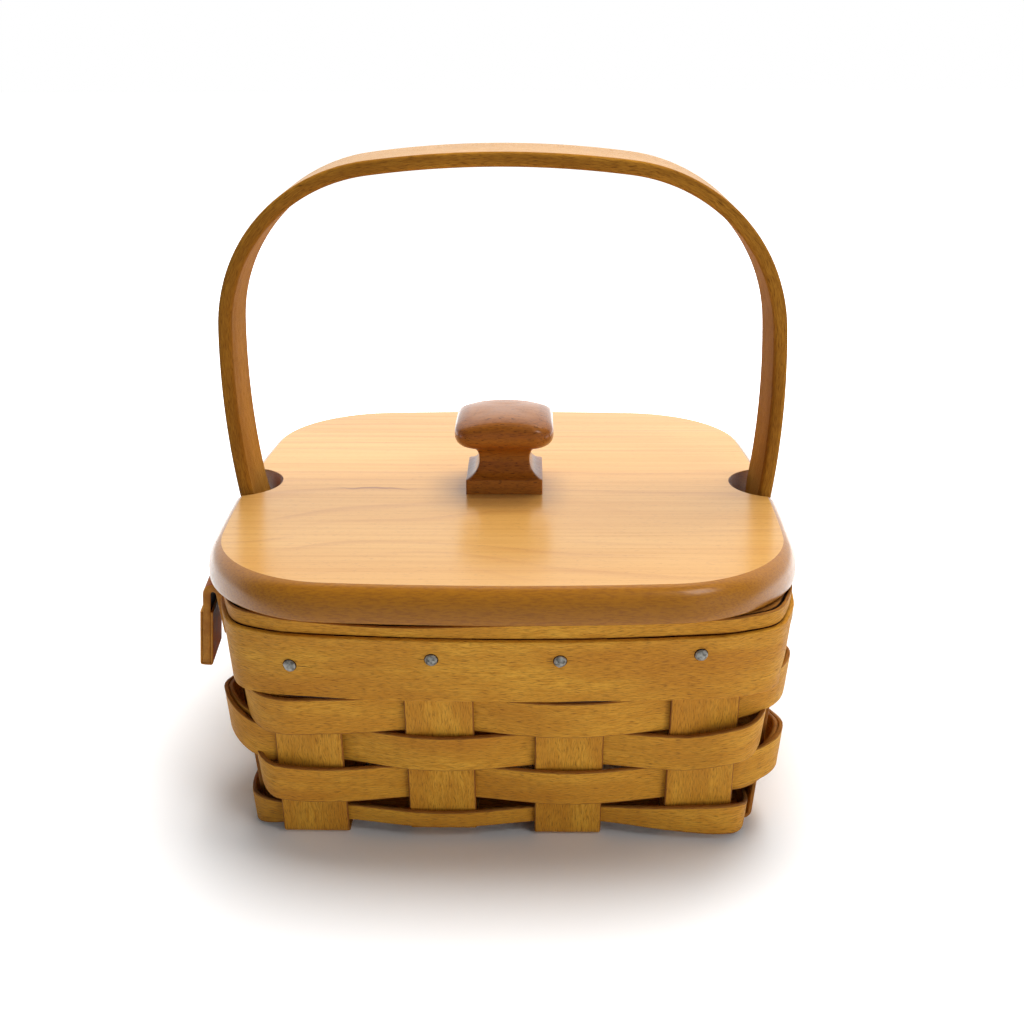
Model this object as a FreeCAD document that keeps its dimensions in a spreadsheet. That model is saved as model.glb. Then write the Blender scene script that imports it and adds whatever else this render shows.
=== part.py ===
import FreeCAD, Part
import Sketcher
import math
import os
from FreeCAD import Placement
from FreeCAD import Rotation
from FreeCAD import Vector

# A square woven splint basket with a bent handle, a notched board lid with a knob, and a leather tab.
# The origin is the middle of the underside of the base, +Z is up and the front wall faces -Y. Sizes in mm.

SIZES = (
    ("rim_half", 82.0, "middle of the upright splints to the basket's axis, at the rim"),
    ("rim_height", 72.2, "top of the inner band above the floor"),
    ("wall_lean", 9.0, "lean of the walls in degrees"),
    ("side_radius", 420.0, "radius of the bow of each wall at the rim"),
    ("rim_corner", 26.0, "corner radius of the walls at the rim"),
    ("base_corner", 7.7, "distance from the end splint to the corner at the base"),
    ("stake_width", 18.8, "width of an upright splint"),
    ("stake_thickness", 1.2, "thickness of an upright splint"),
    ("base_bend", 1.5, "inner radius of an upright splint's bend at the base"),
    ("weave_gap", 0.2, "room between crossing splints"),
    ("row_height", 11.4, "height of a weaver strip"),
    ("foot_row_height", 7.1, "height of the lowest weaver strip"),
    ("row_gap", 0.35, "room between weaver rows"),
    ("foot_row_gap", 1.6, "room between the lowest weaver row and the next"),
    ("weaver_thickness", 1.2, "thickness of a weaver strip"),
    ("corner_bulge", 1.6, "how far a weaver loops out where it passes over an end splint"),
    ("band_reveal", 4.8, "height of the inner band above the outer band"),
    ("outer_band_height", 19.3, "height of the outer band"),
    ("inner_band_height", 21.5, "height of the inner band"),
    ("band_thickness", 1.5, "thickness of both bands"),
    ("band_lap", 12.0, "overlap of a band's ends"),
    ("tack_head", 3.6, "diameter of a tack head"),
    ("tack_dome", 1.0, "height of a tack head"),
    ("tack_shank", 1.2, "diameter of a tack shank"),
    ("tack_room", 0.12, "room round and under a tack"),
    ("tack_drop", 7.4, "rim tacks below the top of the outer band"),
    ("handle_spread", 2.8, "how far the handle's widest half stands out past rim_half"),
    ("handle_rise", 112.6, "top of the handle above the rim"),
    ("handle_width", 21.5, "width of the handle strip"),
    ("handle_thickness", 4.2, "thickness of the handle strip"),
    ("handle_edge", 0.9, "rounding of the handle's edges"),
    ("leg_radius", 258.0, "outer radius of the handle's legs"),
    ("shoulder_radius", 52.7, "outer radius of the handle's shoulders"),
    ("crown_radius", 300.0, "outer radius of the handle's crown"),
    ("leg_depth", 22.0, "how far the handle's legs reach below the rim"),
    ("seat_gap", 0.25, "room between the handle's legs and their neighbours"),
    ("lid_overhang", 3.0, "how far the lid stands out past rim_half"),
    ("lid_thickness", 9.9, "thickness of the lid board"),
    ("lid_side_radius", 630.0, "radius of the lid's bowed sides"),
    ("lid_corner", 40.6, "radius of the lid's corners"),
    ("lid_round", 6.0, "rounding of the lid's top edge"),
    ("lid_foot_round", 0.9, "rounding of the lid's lower edge"),
    ("lid_gap", 0.2, "room between the lid and the inner band"),
    ("notch_radius", 13.6, "radius of the lid's notches for the handle"),
    ("notch_depth", 14.0, "depth of the lid's notches"),
    ("knob_base", 23.4, "width of the knob's square base"),
    ("knob_base_height", 5.0, "height of the knob's square base"),
    ("knob_neck", 15.8, "width of the knob's neck"),
    ("knob_cap", 30.2, "width of the knob's cap"),
    ("knob_cap_height", 8.0, "height of the knob's cap"),
    ("knob_cap_corner", 6.0, "corner radius of the knob's cap"),
    ("knob_height", 24.2, "height of the knob"),
    ("screw_shank", 3.6, "diameter of the knob's screw"),
    ("screw_head", 7.4, "diameter of the screw's flat head"),
    ("screw_reach", 12.0, "how far the screw reaches into the knob"),
    ("screw_room", 0.1, "room round the screw"),
    ("strap_inset", 23.6, "middle of the leather tab back from the front end of the left wall"),
    ("strap_width", 17.0, "width of the leather tab"),
    ("strap_thickness", 2.2, "thickness of the leather"),
    ("strap_gap", 0.5, "room behind the edges of the leather, which lies flat on the bowed band"),
    ("strap_drop", 5.6, "where the leather leaves the band, below the rim"),
    ("strap_hold", 14.1, "height of the leather that is fixed to the band"),
    ("strap_turn", 1.9, "radius of the leather's fold, at its middle"),
    ("flap_tilt", 5.0, "how far the leather flap hangs out from upright, in degrees"),
    ("flap_height", 24.0, "lower end of the leather flap below where it leaves the band"),
    ("sleeve_height", 16.4, "height of the sleeve round the flap"),
    ("sleeve_thickness", 0.5, "thickness of the sleeve's leather"),
)

FRONT, RIGHT, BACK, LEFT = range(4)
WALLS = len((FRONT, RIGHT, BACK, LEFT))
STAKES_A_SIDE = 4
STAKES = STAKES_A_SIDE * WALLS
ROWS = ("weaver_a", "weaver_b", "weaver_c", "weaver_d")
LAP_STAKES = 2
CURVE_STEPS = 5
CORNER_STEPS = 7
WALL_STEPS = 12
CORNER_EASE = 0.58
FLAT_ENOUGH = 1e-6

doc = FreeCAD.newDocument("lidded_basket")
sheet = doc.addObject("Spreadsheet::Sheet", "Sizes")
for line, (alias, value, meaning) in enumerate(SIZES, start=1):
    sheet.set(f"A{line}", meaning)
    sheet.set(f"B{line}", str(value))
    sheet.setAlias(f"B{line}", alias)
doc.recompute()

pieces = []


def size(alias):
    return float(sheet.get(alias))


def keep(piece, label):
    """Lists a finished piece under the name that its file takes."""
    piece.Label = label
    pieces.append(piece)


def add_shape(label, shape):
    """Adds a piece whose shape is worked out below from the sheet's sizes."""
    piece = doc.addObject("Part::Feature", label)
    piece.Shape = shape
    piece.Placement = Placement()
    keep(piece, label)


# Values that follow from the sheet

rim_half = size("rim_half")
rim_height = size("rim_height")
lean_slope = math.tan(math.radians(size("wall_lean")))
base_half = rim_half - rim_height * lean_slope
stake_width = size("stake_width")
stake_thickness = size("stake_thickness")
weave_gap = size("weave_gap")
weaver_thickness = size("weaver_thickness")
band_thickness = size("band_thickness")
stake_flat = stake_width / 2 + 2 * weave_gap
wall_end = base_half - size("base_corner")
stake_pitch = (wall_end - stake_flat) / ((STAKES_A_SIDE - 1) / 2)
stake_room = stake_pitch - 2 * stake_flat
side_radius = size("side_radius")
rim_corner = size("rim_corner")
corner_start = rim_half - rim_corner
outer_band_top = rim_height - size("band_reveal")
outer_band_low = outer_band_top - size("outer_band_height")
weave_offset = (stake_thickness + weaver_thickness) / 2 + weave_gap
band_offset = (stake_thickness + band_thickness) / 2 + weave_gap
band_face = band_offset + band_thickness / 2
leg_half = size("handle_width") / 2
lid_low = rim_height + size("lid_gap")
lid_top = lid_low + size("lid_thickness")


def smooth(share):
    """Eases from 0 to 1, level at both ends."""
    share = min(1.0, max(0.0, share))
    return share * share * (3 - 2 * share)


def steps(first, last, count):
    """Evenly spaced values from first to last, both ends included."""
    return [first + (last - first) * step / count for step in range(count + 1)]


def stake_along(number):
    """Place of an upright splint along its wall, from the wall's middle."""
    return (number % STAKES_A_SIDE - (STAKES_A_SIDE - 1) / 2) * stake_pitch


STAKE_EDGES = [stake_along(number) + side * stake_width / 2
               for number in range(STAKES_A_SIDE) for side in (-1, 1)]


def rim_line(along):
    """Distance from the basket's axis to the bowed line of the rim, with its round corners."""
    past_corner = max(0.0, abs(along) - corner_start)
    corner = rim_corner - math.sqrt(rim_corner ** 2 - past_corner ** 2)
    return rim_half - along ** 2 / (2 * side_radius) - corner


def wall_half(along, height):
    """Distance from the axis to the middle of the upright splints, which are flat across their width."""
    rim = rim_line(along)
    for left, right in zip(STAKE_EDGES, STAKE_EDGES[1:]):
        if left <= along <= right:
            share = (along - left) / (right - left)
            rim = rim_line(left) * (1 - share) + rim_line(right) * share
    return base_half + (rim - base_half) * height / rim_height


def turned(point, wall):
    """Turns a point of the front wall to another wall, counted round by the right side."""
    quarter = wall % WALLS
    for _ in range(quarter):
        point = Vector(-point.y, point.x, point.z)
    return point


def wall_point(wall, along, offset, height):
    """A point beside a wall, offset outwards from the middle of the upright splints."""
    return turned(Vector(along, -(wall_half(along, height) + offset), height), wall)


def wall_normal(wall, along, height):
    """Outward direction of a wall at a point."""
    small = 0.01
    slope_along = (wall_half(along + small, height) - wall_half(along - small, height)) / (2 * small)
    slope_up = (wall_half(along, height + small) - wall_half(along, height - small)) / (2 * small)
    normal = Vector(-slope_along, -1, -slope_up)
    return turned(normal.normalize(), wall)


# Strips built from four long edges


def corner_faces(a, b, c, d):
    """One face where four corners lie in a plane, two triangles where they don't."""
    normal = (b - a).cross(c - a)
    if normal.Length > FLAT_ENOUGH and abs((d - a).dot(normal.normalize())) < FLAT_ENOUGH:
        return [Part.Face(Part.makePolygon([a, b, c, d, a]))]
    return [Part.Face(Part.makePolygon([a, b, c, a])), Part.Face(Part.makePolygon([a, c, d, a]))]


def strip_solid(rails):
    """A closed strip between four long edges, given in order round its section."""
    faces = []
    for rail, following in zip(rails, rails[1:] + rails[:1]):
        for step in range(len(rail) - 1):
            faces += corner_faces(rail[step], rail[step + 1], following[step + 1], following[step])
    for end in (0, -1):
        faces += corner_faces(*[rail[end] for rail in rails])
    shell = Part.makeShell(faces)
    shell.sewShape()
    solid = Part.makeSolid(shell)
    if solid.Volume < 0:
        solid.reverse()
    return solid


def side_line(points, distance):
    """A line beside a flat line of (x, y) pairs, to its right, mitred at the corners."""
    line = []
    for index, (x, y) in enumerate(points):
        before = points[max(index - 1, 0)]
        after = points[min(index + 1, len(points) - 1)]
        normals = []
        for start, end in ((before, (x, y)), ((x, y), after)):
            run = math.hypot(end[0] - start[0], end[1] - start[1])
            if run > FLAT_ENOUGH:
                normals.append(((end[1] - start[1]) / run, -(end[0] - start[0]) / run))
        mean = [sum(part) / len(normals) for part in zip(*normals)]
        square = mean[0] ** 2 + mean[1] ** 2
        line.append((x + distance * mean[0] / square, y + distance * mean[1] / square))
    return line


def curve_between(start, start_way, end, end_way, count):
    """Inner points of a smooth curve that leaves one point and meets another along given directions."""
    reach = end - start
    first = start + start_way * (CORNER_EASE * reach.dot(start_way))
    second = end - end_way * (CORNER_EASE * reach.dot(end_way))
    points = []
    for share in steps(0, 1, count)[1:-1]:
        rest = 1 - share
        points.append(start * rest ** 3 + first * (3 * rest ** 2 * share)
                      + second * (3 * rest * share ** 2) + end * share ** 3)
    return points


def ring_line(stations, height):
    """The plan line at one height of a strip that follows (wall, along, offset) stations round the basket."""
    spots = [wall_point(*station, height) for station in stations]
    line = [spots[0]]
    for index in range(1, len(spots)):
        if stations[index][0] != stations[index - 1][0]:
            leave = (spots[index - 1] - spots[index - 2]).normalize()
            arrive = (spots[index + 1] - spots[index]).normalize()
            line += curve_between(spots[index - 1], leave, spots[index], arrive, CORNER_STEPS)
        line.append(spots[index])
    return [(spot.x, spot.y) for spot in line]


def ring_strip(stations, low, high, thickness):
    """A strip that runs round the basket between two heights."""
    rails = []
    for height, side in ((low, 1), (high, 1), (high, -1), (low, -1)):
        line = side_line(ring_line(stations, height), side * thickness / 2)
        rails.append([Vector(x, y, height) for x, y in line])
    return strip_solid(rails)


# Tacks


def tack_solid(length):
    """A domed tack along +Z with the underside of its head at the origin."""
    head = size("tack_head") / 2
    dome = size("tack_dome")
    shank = size("tack_shank") / 2
    ball = (head ** 2 + dome ** 2) / (2 * dome)
    half_turn = math.asin(head / ball) / 2
    crest = Vector(ball * math.sin(half_turn), 0, ball * math.cos(half_turn) - ball + dome)
    foot = Vector(0, 0, -length)
    taper = Vector(shank, 0, -length + 2 * shank)
    neck = Vector(shank, 0, 0)
    brim = Vector(head, 0, 0)
    top = Vector(0, 0, dome)
    edges = [Part.makeLine(foot, taper), Part.makeLine(taper, neck), Part.makeLine(neck, brim),
             Part.Arc(brim, crest, top).toShape(), Part.makeLine(top, foot)]
    return Part.Face(Part.Wire(edges)).revolve(Vector(0, 0, 0), Vector(0, 0, 1), 360)


def tack_place(wall, along, face, height):
    """Where a tack head sits on a face that stands a given distance outside the upright splints."""
    out = wall_normal(wall, along, height)
    seat = wall_point(wall, along, face, height) + out * size("tack_room")
    return Placement(seat, Rotation(Vector(0, 0, 1), out))


def tack_set(places, length):
    """A group of tacks, and the round holes that they pass through."""
    tack = tack_solid(length)
    room = size("tack_room")
    drill = Part.makeCylinder(size("tack_shank") / 2 + room, length + room, Vector(0, 0, -length - room))
    tacks = Part.makeCompound([tack.transformed(place.toMatrix()) for place in places])
    holes = Part.makeCompound([drill.transformed(place.toMatrix()) for place in places])
    return tacks, holes


rim_tack_length = 2 * band_thickness + stake_thickness + 2 * weave_gap + size("tack_room")
rim_tack_height = outer_band_top - size("tack_drop")
rim_places = [tack_place(number // STAKES_A_SIDE, stake_along(number), band_face, rim_tack_height)
              for number in range(STAKES)]
rim_tacks, rim_holes = tack_set(rim_places, rim_tack_length)

handle_tack_length = rim_tack_length + size("handle_thickness") + 2 * size("seat_gap")
leg_low = rim_height - size("leg_depth")
handle_places = [tack_place(wall, 0, band_face, leg_low + share * (outer_band_top - leg_low))
                 for wall in (RIGHT, LEFT) for share in (0.25, 0.75)]
handle_tacks, handle_holes = tack_set(handle_places, handle_tack_length)

strap_face = band_face + size("strap_gap") + size("strap_thickness")
strap_tack_length = size("strap_thickness") + size("strap_gap") + band_thickness + size("tack_room")
strap_place = wall_end - size("strap_inset")
strap_fold = rim_height - size("strap_drop")
strap_low = strap_fold - size("strap_hold")
flap_low = strap_fold - size("flap_height")
strap_tack_height = (strap_low + strap_fold) / 2
strap_tack_apart = size("strap_width") / 2
strap_places = [tack_place(LEFT, strap_place + side * strap_tack_apart / 2, strap_face, strap_tack_height)
                for side in (-1, 1)]
strap_tacks, strap_holes = tack_set(strap_places, strap_tack_length)

add_shape("rim_tacks", rim_tacks)
add_shape("handle_tacks", handle_tacks)
add_shape("strap_tacks", strap_tacks)


# Upright splints: up one wall, across the base in plain weave and up the opposite wall

stake_top = outer_band_top - 2 * weave_gap
base_lift = stake_thickness + weave_gap


def base_level(column, crossing, runs_front_to_back):
    """Height of the middle of a base splint where it crosses another."""
    over = (column + crossing) % 2 == (1 if runs_front_to_back else 0)
    return stake_thickness / 2 + (base_lift if over else 0)


def half_stake_line(along, levels):
    """(distance, height) pairs of half a splint at one edge, from the middle of the base up one wall."""
    lean = math.atan((wall_half(along, rim_height) - base_half) / rim_height)
    bend = size("base_bend") + stake_thickness / 2
    centre_height = levels[-1] + bend
    centre = wall_half(along, centre_height) - bend / math.cos(lean)
    line = [(0, sum(levels[:2]) / 2)]
    for step, (near, far) in enumerate(zip(levels[1:], levels[2:] + levels[-1:])):
        middle = stake_along(STAKES_A_SIDE // 2 + step)
        if step == 0:
            line += [((middle - stake_flat) * share, levels[0] + (near - levels[0]) * smooth(0.5 + share / 2))
                     for share in steps(0, 1, CURVE_STEPS // 2)[1:-1]]
        line += [(middle - stake_flat, near), (middle + stake_flat, near)]
        if step < STAKES_A_SIDE // 2 - 1:
            line += [(middle + stake_flat + stake_room * share, near + (far - near) * smooth(share))
                     for share in steps(0, 1, CURVE_STEPS)[1:-1]]
    for turn in steps(math.pi / 2, lean, CURVE_STEPS):
        line.append((centre + bend * math.cos(turn), centre_height - bend * math.sin(turn)))
    straight_from = line[-1][1]
    for height in steps(straight_from, stake_top, WALL_STEPS)[1:]:
        line.append((wall_half(along, height), height))
    return line


def stake_solid(column, runs_front_to_back):
    """One upright splint, from the top of one wall to the top of the opposite one."""
    crossings = range(STAKES_A_SIDE)
    levels = [base_level(column, crossing, runs_front_to_back) for crossing in crossings]
    middle = STAKES_A_SIDE // 2
    rails = []
    for edge, side in ((-1, 1), (1, 1), (1, -1), (-1, -1)):
        along = stake_along(column) + edge * stake_width / 2
        far = half_stake_line(along, levels[middle - 1:])
        near = half_stake_line(along, levels[middle::-1])
        line = [(-distance, height) for distance, height in reversed(near)] + far[1:]
        line = side_line(line, side * stake_thickness / 2)
        points = [Vector(along, distance, height) for distance, height in line]
        if not runs_front_to_back:
            points = [Vector(point.y, point.x, point.z) for point in points]
        rails.append(points)
    return strip_solid(rails)


for column in range(STAKES_A_SIDE):
    add_shape(f"stake_front_back_{column + 1}", stake_solid(column, True).cut(rim_holes))
for column in range(STAKES_A_SIDE):
    add_shape(f"stake_left_right_{column + 1}", stake_solid(column, False).cut(rim_holes))


# Weavers: over one upright splint and under the next, with lapped ends tucked behind a splint


def weaver_stations(first):
    """(wall, along, offset) stations of a weaver that starts behind a splint and laps its own start."""
    layer = weaver_thickness + weave_gap
    last = first + STAKES + LAP_STAKES

    def station(number, along, share_over, extra):
        offset = weave_offset * (2 * share_over - 1) + extra
        if number < first + LAP_STAKES + 1:
            offset -= layer * (1 - share_over)
        if number >= first + STAKES:
            offset += layer * share_over
        return (number // STAKES_A_SIDE, along, offset)

    stations = []
    for number in range(first, last + 1):
        over = float((number - first) % 2)
        middle = stake_along(number)
        place = number % STAKES_A_SIDE
        loops_out = over and place in (0, STAKES_A_SIDE - 1)
        start = middle if number == first else middle - stake_flat
        end = middle if number == last else middle + stake_flat
        for spot in steps(start, end, 4 if loops_out else 1):
            from_corner = (spot - start) if place == 0 else (end - spot)
            extra = size("corner_bulge") * smooth(1 - from_corner / (1.5 * stake_flat)) if loops_out else 0
            stations.append(station(number, spot, over, extra))
        if place < STAKES_A_SIDE - 1 and number < last:
            for share in steps(0, 1, CURVE_STEPS)[1:-1]:
                spot = middle + stake_flat + stake_room * share
                share_over = over + (1 - 2 * over) * smooth(share)
                stations.append(station(number, spot, share_over, 0))
    return stations


# The wall and the splint on it where each row starts, tucked behind that splint
ROW_STARTS = ((BACK, 1), (LEFT, 2), (FRONT, 3), (BACK, 0))

row_low = outer_band_low
for label, (wall, place) in zip(ROWS, ROW_STARTS):
    is_foot = label == ROWS[-1]
    row_top = row_low - size("foot_row_gap" if is_foot else "row_gap")
    row_low = row_top - size("foot_row_height" if is_foot else "row_height")
    stations = weaver_stations(wall * STAKES_A_SIDE + place)
    add_shape(label, ring_strip(stations, row_low, row_top, weaver_thickness))


# Bands round the rim: their ends lap at the middle of the back wall

def lap_shift(wall, along):
    """How far a band's last end is set off by its own start."""
    ramp = stake_along(2) - size("tack_head") - size("band_lap") / 2
    if wall < BACK + WALLS:
        return 0.0
    return (band_thickness + weave_gap) * smooth((along + size("band_lap") / 2 + ramp) / ramp)


def band_stations(spots_on_wall, offset_at):
    """Stations of a band from the middle of the back wall, round the basket and past its own start."""
    lap = size("band_lap") / 2
    stations = [(BACK, -lap, offset_at(BACK, -lap))]
    for wall in range(BACK, BACK + WALLS + 1):
        for along in spots_on_wall:
            before_start = wall == BACK and along <= -lap
            past_end = wall == BACK + WALLS and along >= lap
            if not before_start and not past_end:
                stations.append((wall, along, offset_at(wall, along)))
    stations.append((BACK + WALLS, lap, offset_at(BACK + WALLS, lap)))
    return stations


def outer_band_offset(wall, along):
    return band_offset + lap_shift(wall, along)


leg_hold = leg_half + 2 * size("seat_gap")
leg_run = stake_pitch / 2
leg_stack = size("handle_thickness") + 2 * size("seat_gap")


def inner_band_offset(wall, along):
    """The inner band runs behind the handle's legs at the two sides."""
    behind_leg = 0.0
    if wall % WALLS in (RIGHT, LEFT):
        behind_leg = leg_stack * smooth(1 - (abs(along) - leg_hold) / leg_run)
    return -band_offset - behind_leg - lap_shift(wall, along)


def spaced(spots):
    """Sorted spots on both sides of a wall's middle, none closer to the next than a splint is thick."""
    kept = []
    for spot in sorted(spots):
        if not kept or spot - kept[-1] > stake_thickness:
            kept.append(spot)
    return [-spot for spot in reversed(kept)] + kept


stake_spots = [size("band_lap") / 4, wall_end]
for near, far in zip(STAKE_EDGES[-4::2], STAKE_EDGES[-3::2]):
    stake_spots += steps(near, far, CURVE_STEPS)
leg_spots = steps(leg_hold, leg_hold + leg_run, CURVE_STEPS)

outer_band = ring_strip(band_stations(spaced(stake_spots), outer_band_offset),
                        outer_band_low, outer_band_top, band_thickness)
outer_band = outer_band.cut(rim_holes).cut(handle_holes).cut(strap_holes)
add_shape("outer_band", outer_band)

inner_low = rim_height - size("inner_band_height")
inner_band = ring_strip(band_stations(spaced(leg_spots + stake_spots), inner_band_offset),
                        inner_low, rim_height, band_thickness)
add_shape("inner_band", inner_band.cut(rim_holes).cut(handle_holes))


# Handle: a flat strip bent to tangent arcs, its legs inside the walls


def leg_face(height):
    """Outer face of a handle leg, which lies inside the upright splints."""
    return wall_half(leg_half, height) - stake_thickness / 2 - size("seat_gap")


def handle_outline():
    """Half of the handle's outer line: (centre, start, end) of each arc, from the leg to the crown."""
    leg_radius = size("leg_radius")
    shoulder = size("shoulder_radius")
    crown_radius = size("crown_radius")
    slope = (leg_face(rim_height) - leg_face(0)) / rim_height
    leg_way = Vector(slope, 0, 1).normalize()
    leg_out = Vector(leg_way.z, 0, -leg_way.x)
    leg_centre_x = rim_half + size("handle_spread") - leg_radius
    touch_x = leg_centre_x + leg_radius * leg_out.x
    touch = Vector(touch_x, 0, (touch_x - leg_face(0)) / slope)
    leg_centre = touch - leg_out * leg_radius
    crown_centre = Vector(0, 0, rim_height + size("handle_rise") - crown_radius)
    apart = crown_centre - leg_centre
    span = apart.Length
    near = leg_radius - shoulder
    far = crown_radius - shoulder
    along = (near ** 2 - far ** 2 + span ** 2) / (2 * span)
    aside = math.sqrt(near ** 2 - along ** 2)
    way = apart.normalize()
    shoulder_centre = leg_centre + way * along + Vector(-way.z, 0, way.x) * aside
    leg_end = leg_centre + (shoulder_centre - leg_centre).normalize() * leg_radius
    crown_start = crown_centre + (shoulder_centre - crown_centre).normalize() * crown_radius
    crown_top = crown_centre + Vector(0, 0, crown_radius)
    leg_arc = (leg_centre, touch, leg_end)
    shoulder_arc = (shoulder_centre, leg_end, crown_start)
    crown_arc = (crown_centre, crown_start, crown_top)
    return [leg_arc, shoulder_arc, crown_arc]


def arc_edge(centre, start, end, inset):
    """An arc from start to end about a centre, moved towards the centre by inset."""
    first = centre + (start - centre).normalize() * ((start - centre).Length - inset)
    last = centre + (end - centre).normalize() * ((end - centre).Length - inset)
    halfway = ((first - centre) + (last - centre)).normalize() * (first - centre).Length
    return Part.Arc(first, centre + halfway, last).toShape()


def handle_side():
    """The side view of the whole handle as one flat face."""
    thickness = size("handle_thickness")
    arcs = handle_outline()
    touch = arcs[0][1]
    leg_out = (touch - arcs[0][0]).normalize()
    foot = Vector(leg_face(leg_low), 0, leg_low)
    inner_touch = touch - leg_out * thickness
    inner_foot = foot - leg_out * thickness
    half = [Part.makeLine(inner_foot, foot), Part.makeLine(foot, touch)]
    half += [arc_edge(*arc, 0) for arc in arcs]
    half += [arc_edge(*arc, thickness) for arc in arcs]
    half.append(Part.makeLine(inner_touch, inner_foot))
    mirrored = [edge.mirror(Vector(0, 0, 0), Vector(1, 0, 0)) for edge in half]
    return Part.Face(Part.Wire(Part.__sortEdges__(half + mirrored)))


handle_profile = doc.addObject("Part::Feature", "handle_profile")
handle_profile.Shape = handle_side()
handle_strip = doc.addObject("Part::Extrusion", "handle_strip")
handle_strip.Base = handle_profile
handle_strip.DirMode = "Custom"
handle_strip.Dir = Vector(0, 1, 0)
handle_strip.setExpression("LengthFwd", "Sizes.handle_width")
handle_strip.Symmetric = True
handle_strip.Solid = True
doc.recompute()

handle_soft = doc.addObject("Part::Fillet", "handle_soft")
handle_soft.Base = handle_strip
handle_soft.Edges = [
    (index, size("handle_edge"), size("handle_edge"))
    for index, edge in enumerate(handle_strip.Shape.Edges, start=1)
    if abs(edge.Vertexes[0].Y - edge.Vertexes[-1].Y) < FLAT_ENOUGH
]
handle_drills = doc.addObject("Part::Feature", "handle_drills")
handle_drills.Shape = handle_holes
handle = doc.addObject("Part::Cut", "handle")
handle.Base = handle_soft
handle.Tool = handle_drills
keep(handle, "handle")


# Lid: a board with bowed sides, round corners and a notch at each side for the handle


def lid_outline():
    """The lid's plan as one flat face of tangent arcs."""
    half = rim_half + size("lid_overhang")
    side = size("lid_side_radius")
    corner = size("lid_corner")
    back = side - half
    centre = (-back + math.sqrt(2 * (side - corner) ** 2 - back ** 2)) / 2
    way = Vector(centre + back, centre, 0).normalize()
    touch = Vector(-back, 0, 0) + way * side
    tip = centre + corner / math.sqrt(2)
    edges = []
    for wall in range(WALLS):
        side_points = [Vector(touch.x, -touch.y, 0), Vector(half, 0, 0), touch]
        corner_points = [touch, Vector(tip, tip, 0), Vector(touch.y, touch.x, 0)]
        for points in (side_points, corner_points):
            edges.append(Part.Arc(*[turned(point, wall) for point in points]).toShape())
    return Part.Face(Part.Wire(Part.__sortEdges__(edges)))


lid_plan = doc.addObject("Part::Feature", "lid_plan")
lid_plan.Shape = lid_outline()
lid_blank = doc.addObject("Part::Extrusion", "lid_blank")
lid_blank.Base = lid_plan
lid_blank.DirMode = "Custom"
lid_blank.Dir = Vector(0, 0, 1)
lid_blank.setExpression("LengthFwd", "Sizes.lid_thickness")
lid_blank.Solid = True
doc.recompute()

lid_soft = doc.addObject("Part::Fillet", "lid_soft")
lid_soft.Base = lid_blank
soft_edges = []
for index, edge in enumerate(lid_blank.Shape.Edges, start=1):
    heights = [vertex.Z for vertex in edge.Vertexes]
    if max(heights) - min(heights) < FLAT_ENOUGH:
        radius = size("lid_round") if heights[0] > size("lid_thickness") / 2 else size("lid_foot_round")
        soft_edges.append((index, radius, radius))
lid_soft.Edges = soft_edges

lid_tools = []
for name, sign in (("notch_right", "1"), ("notch_left", "-1")):
    notch = doc.addObject("Part::Cylinder", name)
    notch.setExpression("Radius", "Sizes.notch_radius")
    notch.setExpression("Height", "2 * Sizes.lid_thickness")
    reach = "(Sizes.rim_half + Sizes.lid_overhang - Sizes.notch_depth + Sizes.notch_radius)"
    notch.setExpression(".Placement.Base.x", f"{sign} * {reach}")
    notch.setExpression(".Placement.Base.z", "-Sizes.lid_thickness / 2")
    lid_tools.append(notch)
screw_way = doc.addObject("Part::Cylinder", "screw_way")
screw_way.setExpression("Radius", "Sizes.screw_shank / 2 + Sizes.screw_room")
screw_way.setExpression("Height", "2 * Sizes.lid_thickness")
screw_way.setExpression(".Placement.Base.z", "-Sizes.lid_thickness / 2")
lid_tools.append(screw_way)
screw_seat = doc.addObject("Part::Cone", "screw_seat")
screw_seat.setExpression("Radius1", "Sizes.screw_head / 2 + Sizes.screw_room")
screw_seat.setExpression("Radius2", "Sizes.screw_shank / 2 + Sizes.screw_room")
screw_seat.setExpression("Height", "(Sizes.screw_head - Sizes.screw_shank) / 2")
lid_tools.append(screw_seat)
lid_tool = doc.addObject("Part::MultiFuse", "lid_tool")
lid_tool.Shapes = lid_tools
lid_board = doc.addObject("Part::Cut", "lid_board")
lid_board.Base = lid_soft
lid_board.Tool = lid_tool
lid_board.setExpression(".Placement.Base.z", "Sizes.rim_height + Sizes.lid_gap")
keep(lid_board, "lid_board")


# Knob: the same side view both ways, so that its neck is mitred, under a cap with round corners

# Shares of the cap's height: the brow's inset, the widest line above the brow and the shoulder below the top
BROW_INSET = 0.3
CAP_WIDEST = 0.42
SHOULDER_DROP = 0.12
# Middle points of the cove and of the cap's underside, as shares of their width and height
COVE_MIDDLE = (0.24, 0.42)
UNDERSIDE_MIDDLE = (0.2, 0.72)


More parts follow.
